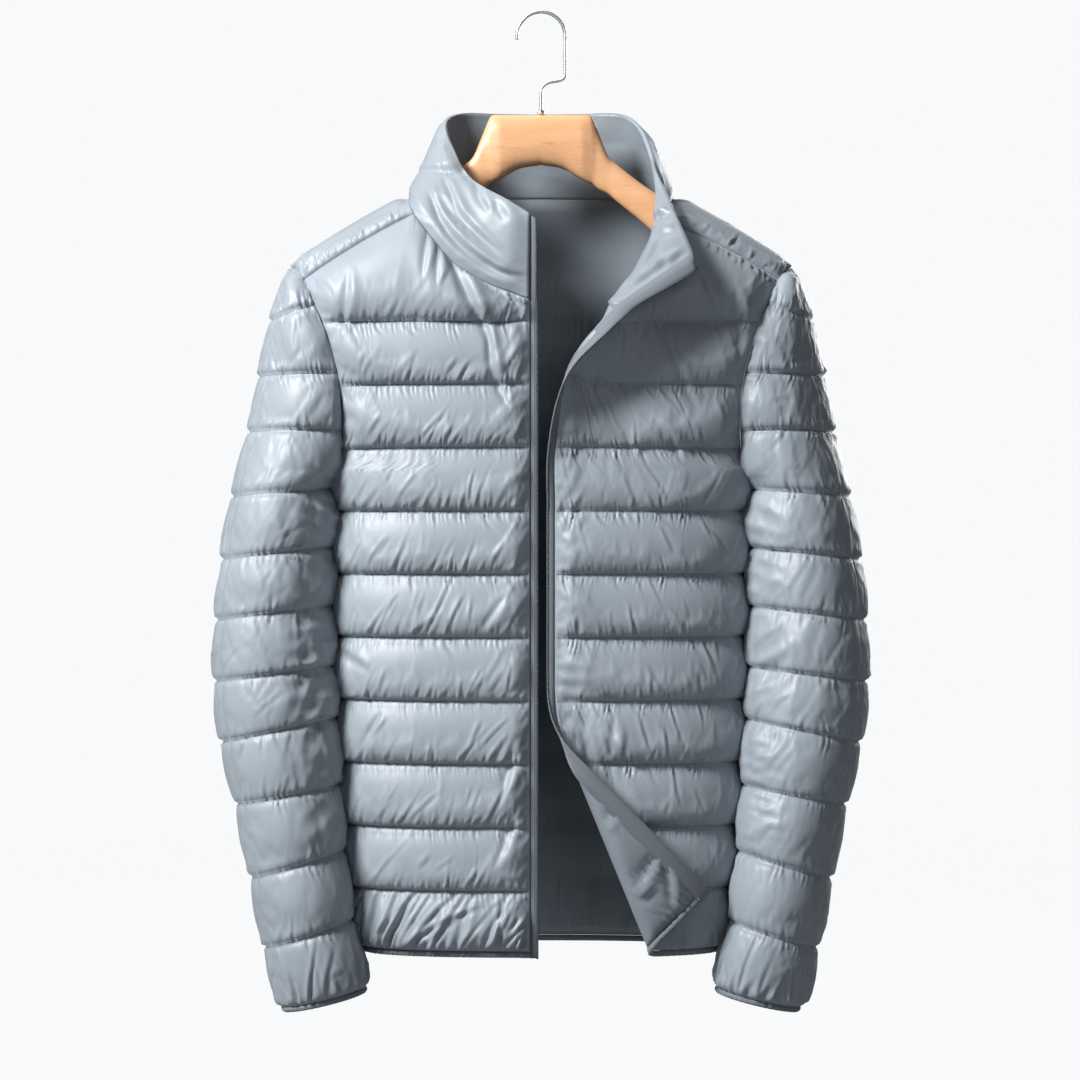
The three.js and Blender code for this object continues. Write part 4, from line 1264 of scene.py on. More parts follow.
    def inner(self) -> np.ndarray:
        """Points of the lining, which swells a little between the stitch lines and wrinkles."""
        part = np.mod(self.g + 1e-9, 1.0)
        pillow = np.maximum(0, np.sin(math.pi * part)) ** 0.5
        high = ease((self.rows - self.plain_top - self.g) / 0.4)
        edge = ease(np.minimum(self.u, 1 - self.u) * len(self.u) / 8)
        # The lining wrinkles like the shell's mirror image, so that the two don't match.
        wrinkles = (0.7 if self.quilted else 0.2) * self.relief[:, ::-1]
        for fold in self.lining_folds:
            wrinkles = wrinkles + fold.height(self.base[..., 0], self.base[..., 2])
        puff = (self.lining_puff * pillow[:, None] + wrinkles) * self.lining_scale()
        return self.base - self.normal * (puff * high[:, None] * edge)[..., None]

    def edge(self, which: str) -> tuple[np.ndarray, np.ndarray, np.ndarray]:
        """An edge of the piece as frames for trim.

        Args:
            which: bottom, top, first or last.

        Returns:
            Points, directions out of the piece in its own surface, and normals.
        """
        cut = {
            "bottom": (np.s_[0], np.s_[3]), "top": (np.s_[-1], np.s_[-4]),
            "first": (np.s_[:, 0], np.s_[:, 3]), "last": (np.s_[:, -1], np.s_[:, -4]),
        }[which]
        p, n = self.base[cut[0]], self.normal[cut[0]]
        m = p - self.base[cut[1]]
        m = m - n * np.sum(m * n, axis=1, keepdims=True)
        return p, unit(m), n


def side_floor(g: np.ndarray) -> np.ndarray:
    """Share of the crown left at a side seam, at the armhole and near the shoulder."""
    return np.interp(g, [6.5, 8.0, 10.0, 11.6], [0.4, 0.05, 0.05, 0.4])


class YokePanel(QuiltPiece):
    """A quilted panel with a plain yoke above its top row."""

    def grid(self, g: np.ndarray, u: np.ndarray) -> np.ndarray:
        """Lining points, with the neckline's corner smoothed away over the yoke.

        Args:
            g: row coordinates.
            u: column coordinates.

        Returns:
            Rows by columns by 3.
        """
        base = super().grid(g, u)
        weight = (ease((g - FORM.yoke_row) * 4) * ease((self.rows - g) * 6))[:, None, None]
        for _ in range(60):
            soft = base.copy()
            soft[:, 1:-1] = (base[:, :-2] + 2 * base[:, 1:-1] + base[:, 2:]) / 4
            base = mix(base, soft, weight)
        return base


@dataclass
class FrontPanel(YokePanel):
    """One front: u runs from the zip edge to the side seam."""

    side: Side = Side.RIGHT
    full_height: float = 55.0
    fold_thinning: float = 0.62
    roll_crown: float = 0.6

    def __post_init__(self) -> None:
        """Works out the neckline and yoke edge."""
        right = self.side is Side.RIGHT
        marks = (0, Corner.FRONT_RIGHT.value) if right else (Corner.END.value, Corner.FRONT_LEFT.value)
        neck = NECKLINE.at(np.linspace(*marks, 90))
        self.top = Run(np.vstack([neck, shoulder_seam(self.side.value, -1)[1:]]))
        self.yoke = Run(self.section(FORM.yoke_row))

    def section(self, g: float) -> np.ndarray:
        """Points of one row, before the corner is folded.

        Args:
            g: row coordinate.

        Returns:
            The points from the zip edge to the side.
        """
        z = FORM.height(g)
        if self.side is Side.RIGHT:
            return half_section(z, -1, FORM.zip_edge_right) * np.array([-1, 1, 1])
        if g <= LAPEL_FIRST_ROW:
            return half_section(z, -1, FORM.zip_edge_left)
        lapel = LAPEL.at(g)
        chest = half_section(z, -1, lapel["leave_x"])
        edge = np.array([lapel["edge_x"], lapel["edge_y"], lapel["edge_z"]])
        reach = np.linalg.norm(edge - chest[0]) * (1 + 0.3 * lapel["turn"] / 150)
        turn = math.radians(lapel["turn"])
        leave = unit(chest[0] - chest[1]) * reach
        arrive = np.array([-math.cos(turn), -math.sin(turn), 0]) * reach
        roll = hermite(chest[0], leave, edge, arrive, (1 - np.arange(60) / 60)[:, None])
        return np.vstack([roll, chest])

    def line(self, g: float, u: np.ndarray) -> np.ndarray:
        """Lining points of one row.

        Args:
            g: row coordinate.
            u: column coordinates.

        Returns:
            One point for each column.
        """
        if g <= FORM.yoke_row:
            p = Run(self.section(g)).at(u)
            return FOLD.apply(p) if self.side is Side.LEFT and g < 5 else p
        t = g - FORM.yoke_row
        p = mix(self.yoke.at(u), self.top.at(u), t)
        want = armhole(self.side.value, mix(YOKE_SHARE, FORM.yoke_drop, t), -1)
        have = mix(self.yoke.at([1.0]), self.top.at([1.0]), t)[0]
        p = p + (want - have) * (np.clip(u, 0, 1) ** 5)[:, None]
        p[:, 1] -= FORM.top_bulge * 4 * t * (1 - t) * ease((1 - u) * 5) * ease(u * 5)
        return p

    def seam_floor(self, g: np.ndarray) -> tuple[np.ndarray, np.ndarray]:
        """The side seam is shallow, and so is the armhole near the shoulder."""
        return np.zeros_like(g), side_floor(g)

    def lining_scale(self) -> np.ndarray:
        """The lining is pulled smooth round the fold of the turned corner."""
        scale = super().lining_scale()
        if self.side is Side.LEFT:
            bend = FORM.fold_radius * FORM.fold_turn
            for i in np.flatnonzero(self.g <= LAPEL_FIRST_ROW):
                past = FOLD.past(Run(self.section(self.g[i])).at(self.u))
                scale[i] = 1 - ease((past + 12) / 12) * ease((bend + 3 - past) / 10)
        return scale

    def crown_scale(self, g: float, u: np.ndarray) -> np.ndarray:
        """The padding thins at the fold and at the roll.

        Args:
            g: row coordinate.
            u: column coordinates.

        Returns:
            Shares of the full crown.
        """
        scale = np.ones_like(u)
        if g > FORM.yoke_row:
            tall = np.linalg.norm(self.yoke.at(u) - self.top.at(u), axis=1)
            scale = scale * np.minimum(1, tall / self.full_height)
        if self.side is Side.LEFT and g <= LAPEL_FIRST_ROW:
            past = FOLD.past(Run(self.section(g)).at(u))
            bend = FORM.fold_radius * FORM.fold_turn
            near = ease((past + 30) / 20) * ease((bend + 22 - past) / 18)
            scale = scale * (1 - self.fold_thinning * near)
        if self.side is Side.LEFT and g > LAPEL_FIRST_ROW:
            scale = scale * mix(self.roll_crown, 1, ease((u - 0.3) / 0.3))
        return scale


@dataclass
class BackPanel(YokePanel):
    """The back: u runs from the right side seam to the left one."""

    def __post_init__(self) -> None:
        """Works out the neckline and shoulder edge."""
        neck = NECKLINE.at(np.linspace(Corner.BACK_RIGHT.value, Corner.BACK_LEFT.value, 120))
        right, left = shoulder_seam(-1, 1)[::-1], shoulder_seam(1, 1)
        self.top = Run(np.vstack([right, neck[1:-1], left]))
        self.yoke = self.section(FORM.yoke_row)

    def section(self, g: float) -> Run:
        """The whole back half of the body's section at a row."""
        half = half_section(FORM.height(g), 1, 0.0)
        return Run(np.vstack([(half * np.array([-1, 1, 1]))[::-1], half[1:]]))

    def line(self, g: float, u: np.ndarray) -> np.ndarray:
        """Lining points of one row.

        Args:
            g: row coordinate.
            u: column coordinates.

        Returns:
            One point for each column.
        """
        if g <= FORM.yoke_row:
            return self.section(g).at(u)
        seam = (YOKE_SHARE - FORM.back_seam_share) / (YOKE_SHARE - FORM.yoke_drop)
        past = g - FORM.yoke_row
        t = seam * past if past <= 1 else mix(seam, 1.0, past - 1)
        p = mix(self.yoke.at(u), self.top.at(u), t)
        for end, sign in ((0.0, -1), (1.0, 1)):
            want = armhole(sign, mix(YOKE_SHARE, FORM.yoke_drop, t), 1)
            have = mix(self.yoke.at([end]), self.top.at([end]), t)[0]
            near = np.where((u < 0.5) == (end == 0.0), np.abs(2 * u - 1) ** 8, 0)
            p = p + (want - have) * near[:, None]
        p[:, 1] += FORM.back_bulge * 4 * t * (1 - t) * ease((1 - np.abs(2 * u - 1)) * 4)
        return p

    def seam_floor(self, g: np.ndarray) -> tuple[np.ndarray, np.ndarray]:
        """Both side seams are shallow."""
        return side_floor(g), side_floor(g)


@dataclass
class ShoulderPiece(QuiltPiece):
    """The piece between the yoke seam, the neckline, the back seam and the sleeve."""

    side: Side = Side.RIGHT
    sleeve_floor: float = 0.55

    def seam_floor(self, g: np.ndarray) -> tuple[np.ndarray, np.ndarray]:
        """The sleeve's seam is nearly flush."""
        return np.zeros_like(g), np.full_like(g, self.sleeve_floor)

    def line(self, g: float, u: np.ndarray) -> np.ndarray:
        """Lining points of one row; g runs from the front seam to the back one.

        Args:
            g: row coordinate.
            u: column coordinates.

        Returns:
            One point for each column.
        """
        s = self.side.value
        corners = (
            (Corner.FRONT_RIGHT, Corner.BACK_RIGHT) if s < 0 else (Corner.FRONT_LEFT, Corner.BACK_LEFT))
        front, back = Run(shoulder_seam(s, -1)).at(u), Run(shoulder_seam(s, 1)).at(u)
        v = g / self.rows
        neck = [NECKLINE.at(mix(corners[0].value, corners[1].value, t))[0] for t in (0.0, v, 1.0)]
        arm = [
            armhole(s, FORM.yoke_drop * (2 * t - 1) ** 2, -1 if t < 0.5 else 1) for t in (0.0, v, 1.0)]
        across = mix(neck[1], arm[1], u[:, None])
        flat = mix(mix(neck[0], neck[2], v), mix(arm[0], arm[2], v), u[:, None])
        return mix(front, back, v) + across - flat


@dataclass
class SleevePiece(QuiltPiece):
    """One sleeve piece: u runs round from the front of the armhole to the back."""

    side: Side = Side.RIGHT
    face: Face = Face.FRONT
    set_out: float = 0.25
    set_out_low: float = 0.35
    hind_floor: float = 0.72
    cap_floor: float = 0.55
    outer_crown: float = 0.58
    cap_crown: float = 0.85

    def ellipse(self, g: float, face: int) -> tuple[np.ndarray, np.ndarray, float, float, dict[str, float]]:
        """The half ellipse that a row follows.

        Args:
            g: row coordinate.
            face: -1 or 1.

        Returns:
            Middle, outward direction, half width, starting angle, and the row of the table.
        """
        row = SLEEVE.at(g)
        outer = np.array([row["out_x"], 0, row["out_z"]])
        start_at = np.array([row["in_x"], row["mid_y"], row["in_z"]])
        gap = np.array([-1, 0, -0.4])
        if g >= FORM.sleeve_underarm_row:
            share = float(np.interp(g, CAP_ROWS, CAP_SHARES))
            out_by = mix(self.set_out, self.set_out_low, ease((share - 0.6) / 0.3))
            start_at = armhole(-1, share, face) + gap * out_by
        elif g > SLEEVE_FULL_ROWS:
            t = (g - SLEEVE_FULL_ROWS) / (FORM.sleeve_underarm_row - SLEEVE_FULL_ROWS)
            under = armhole(-1, 1, face) + gap * self.set_out_low
            under[1] = row["mid_y"] * (1 - t)
            start_at = mix(start_at, under, t)
        begin = math.asin(min(1.0, abs(start_at[1] - row["mid_y"]) / row["half_depth"]))
        flat = np.array([start_at[0], 0, start_at[2]])
        half = np.linalg.norm(outer - flat) / (1 + math.cos(begin))
        out = unit(outer - flat)
        return outer - out * half, out, half, begin, row

    def line(self, g: float, u: np.ndarray) -> np.ndarray:
        """Lining points of one row.

        Args:
            g: row coordinate.
            u: column coordinates.

        Returns:
            One point for each column.
        """
        middle, out, half, begin, row = self.ellipse(g, self.face.value)
        if self.face is Face.FRONT:
            turn = mix(begin, FORM.hind_seam, u)
        else:
            turn = mix(FORM.hind_seam, 2 * math.pi - begin, u)
        p = middle - half * np.cos(turn)[:, None] * out
        if self.face is Face.BACK:
            other, other_out, other_half, _, _ = self.ellipse(g, -1)
            q = other - other_half * np.cos(turn)[:, None] * other_out
            fade = ease((math.pi - turn) / (math.pi - FORM.hind_seam))[:, None]
            p = mix(p, q, fade)
        p[:, 1] = row["mid_y"] - row["half_depth"] * np.sin(turn)
        lean = float(np.interp(g, *SLEEVE_LEAN))
        inward = 0.5 + 0.5 * np.cos(turn)
        behind = np.exp(-(((2 * math.pi - 0.55 - turn) / 0.45) ** 2))
        p[:, 0] += lean * (inward ** np.where(turn < math.pi, 3.0, 1.5) + 0.6 * behind)
        return p * np.array([-self.side.value, 1, 1])

    def seam_floor(self, g: np.ndarray) -> tuple[np.ndarray, np.ndarray]:
        """The hind seam is a thin line, and the seam at the body is deeper."""
        inner, hind = side_floor(g), np.full_like(g, self.hind_floor)
        return (inner, hind) if self.face is Face.FRONT else (hind, inner)

    def row_floor(self) -> tuple[float, float]:
        """The cap meets the shoulder nearly flush."""
        return 0.0, self.cap_floor

    def crown_scale(self, g: float, u: np.ndarray) -> np.ndarray:
        """The padding is thinner along the back of the arm and at the cap.

        Args:
            g: row coordinate.
            u: column coordinates.

        Returns:
            Shares of the full crown.
        """
        outer = u if self.face is Face.FRONT else 1 - u
        thin = mix(1.0, self.outer_crown, ease((outer - 0.45) / 0.4))
        return thin * (self.cap_crown if g > self.rows - 1 else 1.0)


@dataclass
class StandCollar(QuiltPiece):
    """The collar, from the right front edge round the neck to the left one."""

    height: float = 74.0
    gap: float = 0.15
    length: float = 460.0

    def line(self, g: float, u: np.ndarray) -> np.ndarray:
        """Lining points of one row; g runs from the neckline up.

        Args:
            g: row coordinate.
            u: column coordinates.

        Returns:
            One point for each column.
        """
        row = u * Corner.END.value
        gap = (self.gap + 0.3 * np.exp(-(((row - 18.5) / 2) ** 2))) / self.height
        return mix(NECKLINE.at(row), COLLAR_TOP.at(row), mix(gap, 1.0, g / self.rows)[:, None])

    def rise(self, g: np.ndarray, u: np.ndarray, base: np.ndarray) -> np.ndarray:
        """One low pillow from edge to edge."""
        v = g / self.rows
        wide = ease(np.minimum(v, 1 - v) * self.height / 12) ** 0.6
        run = np.minimum(u, 1 - u) * self.length
        return 1.2 + self.crown * wide[:, None] * (ease(run / 14) ** 0.6)[None, :]


def share_seams(pieces: list[QuiltPiece], reach: float = 2.4) -> None:
    """Leans the edges of pieces that meet at a seam the same way.

    Args:
        pieces: all the cloth pieces.
        reach: how near two edges lie to count as one seam.
    """
    spots = []
    for number, piece in enumerate(pieces):
        r, k = piece.base.shape[:2]
        edge = [(0, j) for j in range(k)] + [(r - 1, j) for j in range(k)]
        edge += [(i, 0) for i in range(1, r - 1)] + [(i, k - 1) for i in range(1, r - 1)]
        spots += [(number, i, j, piece.base[i, j], piece.normal[i, j].copy()) for i, j in edge]
    tree = KDTree(len(spots))
    for index, spot in enumerate(spots):
        tree.insert(Vector(spot[3]), index)
    tree.balance()
    for number, i, j, point, normal in spots:
        total = normal.copy()
        met = set()
        for _, index, _ in tree.find_range(Vector(point), reach):
            other = spots[index]
            if other[0] != number and other[0] not in met and float(other[4] @ normal) > -0.3:
                met.add(other[0])
                total += other[4]
        pieces[number].normal[i, j] = unit(total)
    for piece in pieces:
        blend_edge_normals(piece)


def blend_edge_normals(piece: QuiltPiece, depth: int = 4) -> None:
    """Carries the leaned edge normals a few points into a piece.

    Args:
        piece: the piece.
        depth: number of rows and columns changed.
    """
    n = piece.normal
    for axis, end in ((0, 0), (0, -1), (1, 0), (1, -1)):
        lane = np.moveaxis(n, axis, 0)
        rim = lane[end].copy()
        for k in range(1, depth):
            at = k if end == 0 else -1 - k
            lane[at] = unit(mix(rim, lane[at], k / depth))


# Trim


def sweep(points: np.ndarray, out: np.ndarray, up: np.ndarray, profile: list[tuple[float, float]],
          closed: bool) -> tuple[np.ndarray, list, np.ndarray]:
    """Sweeps a closed profile along frames.

    Args:
        points: frame origins.
        out: first direction of each frame.
        up: second direction of each frame.
        profile: points as distances along the two directions, anticlockwise.
        closed: joins the last frame to the first.

    Returns:
        Vertices, faces and cloth coordinates in metres.
    """
    p = np.array(profile)
    rings = points[:, None] + out[:, None] * p[None, :, :1] + up[:, None] * p[None, :, 1:]
    faces = tube_faces(*rings.shape[:2], closed=closed)
    run = Run(points).along
    around = np.concatenate([[0], np.cumsum(np.linalg.norm(np.diff(p, axis=0), axis=1))])
    uv = np.stack(np.broadcast_arrays(run[:, None], around[None, :]), axis=-1).reshape(-1, 2) * MM
    return rings.reshape(-1, 3), faces, uv


def fix_outward(obj: Object) -> None:
    """Turns a closed mesh's faces outwards.

    Args:
        obj: the mesh object.
    """
    mesh = obj.data
    mesh.calc_loop_triangles()
    corners = np.empty(len(mesh.loop_triangles) * 3, dtype=np.int32)
    mesh.loop_triangles.foreach_get("vertices", corners)
    points = np.empty(len(mesh.vertices) * 3)
    mesh.vertices.foreach_get("co", points)
    tri = points.reshape(-1, 3)[corners.reshape(-1, 3)]
    if float(np.sum(tri[:, 0] * np.cross(tri[:, 1], tri[:, 2]))) < 0:
        mesh.flip_normals()


@dataclass
class Binding:
    """A gathered elastic strip that closes a hem or a cuff."""

    name: str
    height: float = 5.2
    outside: float = 2.6
    inside: float = 0.8
    gather_mm: float = 5.5
    gather: float = 0.5
    seed: int = 3

    def build(self, points: np.ndarray, out: np.ndarray, up: np.ndarray, closed: bool,
              material: Material) -> Object:
        """Makes the strip.

        Args:
            points: the edge that it closes.
            out: direction off that edge.
            up: outward direction.
            closed: joins its ends.
            material: its material.

        Returns:
            The finished object.
        """
        h, o, i = self.height, self.outside, -self.inside
        profile = [
            (0.3, i), (h * 0.75, i - 0.2), (h, i + 0.6), (h + 0.4, (o + i) / 2), (h, o - 0.7),
            (h * 0.7, o + 0.2), (h * 0.35, o + 0.1), (0.3, o - 0.7)]
        run = Run(points).along
        wave = smooth_noise(run, self.gather_mm, self.seed) * self.gather
        verts, faces, uv = sweep(points + up * wave[:, None], out, up, profile, closed)
        obj = mesh_object(self.name, verts, faces, [material], uv=uv)
        fix_outward(obj)
        hand_over(obj, self.name)
        return obj


class TrimTree:
    """Geometry Nodes that set small solids along a curve: zip teeth, stitches."""

    def __init__(self, name: str, material: Material) -> None:
        """Builds the node tree with its named inputs.

        Args:
            name: the tree's name.
            material: the material of what it sets.
        """
        self.tree = bpy.data.node_groups.new(name, "GeometryNodeTree")
        face = self.tree.interface
        face.new_socket("Geometry", in_out="INPUT", socket_type="NodeSocketGeometry")
        self.sockets = {}
        for label in ("Pitch", "Length", "Width", "Height", "Shake"):
            socket = face.new_socket(label, in_out="INPUT", socket_type="NodeSocketFloat")
            socket.default_value = MM
            self.sockets[label] = socket.identifier
        face.new_socket("Geometry", in_out="OUTPUT", socket_type="NodeSocketGeometry")
        t = self.tree
        given = add_node(t, "NodeGroupInput")
        spots = add_node(
            t, "GeometryNodeCurveToPoints", mode="LENGTH",
            links={"Curve": given.outputs["Geometry"], "Length": given.outputs["Pitch"]})
        size = add_node(
            t, "ShaderNodeCombineXYZ",
            links={0: given.outputs["Width"], 1: given.outputs["Height"], 2: given.outputs["Length"]})
        bead = add_node(t, "GeometryNodeMeshUVSphere", {"Segments": 6, "Rings": 4, "Radius": 0.5})
        shaped = add_node(
            t, "GeometryNodeTransform", links={"Geometry": bead.outputs["Mesh"], "Scale": size.outputs[0]})
        shake = add_node(
            t, "FunctionNodeRandomValue", {"Seed": 11}, {3: given.outputs["Shake"]}, data_type="FLOAT")
        grown = add_node(
            t, "ShaderNodeMath", {0: 1.0}, {1: shake.outputs[1]}, operation="ADD")
        put = add_node(
            t, "GeometryNodeInstanceOnPoints",
            links={"Points": spots.outputs["Points"], "Instance": shaped.outputs["Geometry"],
                   "Rotation": spots.outputs["Rotation"], "Scale": grown.outputs[0]})
        real = add_node(t, "GeometryNodeRealizeInstances", links={"Geometry": put.outputs["Instances"]})
        smooth = add_node(t, "GeometryNodeSetShadeSmooth", links={"Geometry": real.outputs["Geometry"]})
        dressed = add_node(
            t, "GeometryNodeSetMaterial", {"Material": material}, {"Geometry": smooth.outputs["Geometry"]})
        add_node(t, "NodeGroupOutput", links={"Geometry": dressed.outputs["Geometry"]})

    def along(self, name: str, lines: list[np.ndarray], sizes: dict[str, float], slot: Slot) -> Object:
        """Sets the solids along polylines and makes them one plain mesh.

        Args:
            name: the new piece's name.
            lines: polylines in millimetres.
            sizes: values of the tree's inputs, in metres.
            slot: not used.

        Returns:
            The finished object.
        """
        curve = bpy.data.curves.new(name + "_path", "CURVE")
        curve.dimensions = "3D"
        for line in lines:
            spline = curve.splines.new("POLY")
            spline.points.add(len(line) - 1)
            flat = np.concatenate([line * MM, np.ones((len(line), 1))], axis=1)
            spline.points.foreach_set("co", flat.ravel())
        path = bpy.data.objects.new(name + "_path", curve)
        bpy.context.scene.collection.objects.link(path)
        modifier = path.modifiers.new("trim", "NODES")
        modifier.node_group = self.tree
        for label, value in sizes.items():
            modifier[self.sockets[label]] = value
        graph = bpy.context.evaluated_depsgraph_get()
        graph.update()
        mesh = bpy.data.meshes.new_from_object(path.evaluated_get(graph), depsgraph=graph)
        obj = bpy.data.objects.new(name, mesh)
        bpy.context.scene.collection.objects.link(obj)
        bpy.data.objects.remove(path, do_unlink=True)
        return hand_over(obj)


@dataclass
class ZipHalf:
    """One half of the separated zip: a woven tape with a coil along its free edge."""

    side: Side
    width: float = 7.4
    thick: float = 1.1
    gap: float = 0.15
    inside: float = 8.0
    coil_width: float = 2.6
    tooth_pitch: float = 2.0

    def build(self, front: FrontPanel, collar: StandCollar, tape_material: Material,
              coil_tree: TrimTree) -> tuple[Object, Object]:
        """Makes the tape and its coil.

        Args:
            front: the front that it is sewn to.
            collar: the collar, whose front edge it follows to the top.
            tape_material: woven tape.
            coil_tree: sets the coil's teeth.

        Returns:
            The tape and the coil.
        """
        p, m, n = (a[::3] for a in front.edge("first"))
        edge = collar.edge("first" if self.side is Side.RIGHT else "last")
        q, qm, qn = (a[2::3] for a in edge)
        foot = p[0] + unit(p[0] - p[1]) * 6.0
        p, m, n = (np.vstack(s) for s in (
            (foot[None], p[:-1], q), (m[:1], m[:-1], qm), (n[:1], n[:-1], qn)))
        for _ in range(3):
            m[1:-1] = unit((m[:-2] + m[1:-1] * 2 + m[2:]) / 4)
            n[1:-1] = unit((n[:-2] + n[1:-1] * 2 + n[2:]) / 4)
        w, t = self.width, self.thick
        profile = [
            (-self.inside, -1.1), (0.0, -1.2), (w * 0.5, -0.8), (w - 0.4, -0.1), (w - 0.1, 0.4),
            (w - 0.4, t), (w * 0.5, t + 0.1), (self.gap, t + 0.3), (self.gap, -0.3), (-self.inside, -0.3)]
        name = f"zip_tape_{self.side.name.lower()}"
        verts, faces, uv = sweep(p, m, n, profile, False)
        tape = mesh_object(name, verts, faces, [tape_material], uv=uv)
        fix_outward(tape)
        hand_over(tape, name)
        coil_line = p + m * (w - self.coil_width / 2 + 0.4) + n * (t * 0.5 + 0.5)
        coil = coil_tree.along(
            f"zip_coil_{self.side.name.lower()}", [coil_line],
            {"Pitch": self.tooth_pitch * MM, "Length": 1.5 * MM, "Width": self.coil_width * MM,
             "Height": 2.3 * MM, "Shake": 0.0}, Slot.TAPE)
        return tape, coil


# Hanger


@dataclass
class Hanger:
    """A contoured wooden hanger with a bent wire hook."""

    wire: float = 1.5
    hook_radius: float = 21.4
    ferrule: float = 3.2
    turns: int = 24
    power: float = 2.4
    sides: int = 40
    facet_x: float = 36.5
    facet_slope: float = 0.024

    def stations(self) -> Table:
        """Sections along half of the hanger's length."""
        return Table(("x", "top", "bottom", "half_depth", "mid_y"), [
            (0, -90.3, -134.8, 11, 0), (20, -90.3, -138.5, 11, 0), (36.5, -90.3, -148, 11, 0),
            (43, -90.6, -151, 11, 0), (46, -93.5, -152, 11, 0), (52, -108, -157, 10.5, 0),
            (60, -127, -161, 10, 0), (67, -134, -167, 10, -0.5), (90, -152, -186, 11, -1),
            (113, -166.9, -206, 12, -2), (150, -187, -223, 13, -2), (180, -204.9, -236, 14, -2),
            (200, -218.6, -244, 14, -2), (206, -224.5, -242, 12, -2),
        ])

    def build_wood(self, material: Material) -> Object:
        """Makes the wooden body.

        Args:
            material: its material.

        Returns:
            The finished object.
        """
        table = self.stations()
        half = np.unique(np.concatenate([np.linspace(0, 206, 104), [43, 44.5, 46, 48, 52, 60, 203, 205]]))
        rings = []
        for x in np.concatenate([-half[:0:-1], half]):
            row = table.at(abs(float(x)))
            tip = math.sqrt(max(0.0, 1 - max(0.0, (abs(x) - 202) / 4.2) ** 2))
            a = (np.arange(self.sides) + 0.5) * 2 * math.pi / self.sides
            y = np.sign(np.cos(a)) * np.abs(np.cos(a)) ** (2 / self.power)
            y = y * (1 - float(np.clip((abs(x) - self.facet_x) * self.facet_slope, 0, 0.3)))
            z = np.sign(np.sin(a)) * np.abs(np.sin(a)) ** (2 / self.power)
            middle, tall = (row["top"] + row["bottom"]) / 2, (row["top"] - row["bottom"]) / 2
            rings.append(np.stack([
                np.full(self.sides, x), row["mid_y"] + row["half_depth"] * tip * y,
                middle + tall * mix(0.7, 1, tip) * z], axis=-1))
        faces = tube_faces(len(rings), self.sides)
        obj = mesh_object("hanger_body", np.concatenate(rings), faces, [material])
        fix_outward(obj)
        return hand_over(obj, "hanger")

    def build_hook(self, material: Material) -> Object:
        """Makes the hook's wire and its ferrule.

        Args:
            material: plated steel.

        Returns:
            The finished object.
        """
        centre = self.wire - self.hook_radius
        a = np.linspace(0, math.radians(188), 60)
        arc = np.stack([self.hook_radius * np.cos(a), 0 * a, centre + self.hook_radius * np.sin(a)], axis=-1)
        bend = Spline([
            (0, 0, -105.7), (0, 0, -90), (0, 0, -80), (0, 0, -70), (1.2, 0, -65.5), (6, 0, -61.8),
            (18, 0, -59), (21, 0, -56), (21.4, 0, -52), (21.4, 0, -36)])
        path = np.vstack([bend.at(np.linspace(0, 9, 90)), arc])
        path = Run(path).at(np.linspace(0, 1, 200))
        along = unit(np.gradient(path, axis=0))
        out = np.stack([-along[:, 2], 0 * along[:, 0], along[:, 0]], axis=-1)
        up = np.tile([0.0, 1.0, 0.0], (len(path), 1))
        ring = [(self.wire * math.cos(t), self.wire * math.sin(t)) for t in np.arange(12) * math.pi / 6]
        verts, faces, _ = sweep(path, out, up, ring, False)
        lathe = [(1.7, -90.1), (self.ferrule, -90.0), (self.ferrule, -87.6), (2.4, -86.8), (1.7, -85.6)]
        collar = np.array([
            (r * math.cos(t), r * math.sin(t), z)
            for t in np.arange(self.turns) * 2 * math.pi / self.turns for r, z in lathe])
        # The lathe's profile runs clockwise, so its faces are turned over to match the wire's.
        around = tube_faces(self.turns, len(lathe), len(verts), closed=True)
        faces += [(b, a, d, c) for a, b, c, d in around]
        obj = mesh_object("hanger_wire", np.vstack([verts, collar]), faces, [material])
        fix_outward(obj)
        return hand_over(obj, "hanger_hook")


# Studio


@dataclass(frozen=True)
class Softbox:
    """A square light aimed at the jacket's chest, in metres and watts."""

    name: str
    place: tuple[float, float, float]
    size: float
    power: float
    colour: str = "#ffffff"

    def build(self) -> None:
        """Adds the light."""
        data = bpy.data.lights.new(self.name, "AREA")
        data.shape = "SQUARE"
        data.size = self.size
        data.energy = self.power
        data.color = linear(self.colour)[:3]
        lamp = bpy.data.objects.new(self.name, data)
        lamp.location = self.place
        aim = Vector((0, 0, -0.45)) - Vector(self.place)
        lamp.rotation_euler = aim.to_track_quat("-Z", "Y").to_euler()
        bpy.context.scene.collection.objects.link(lamp)


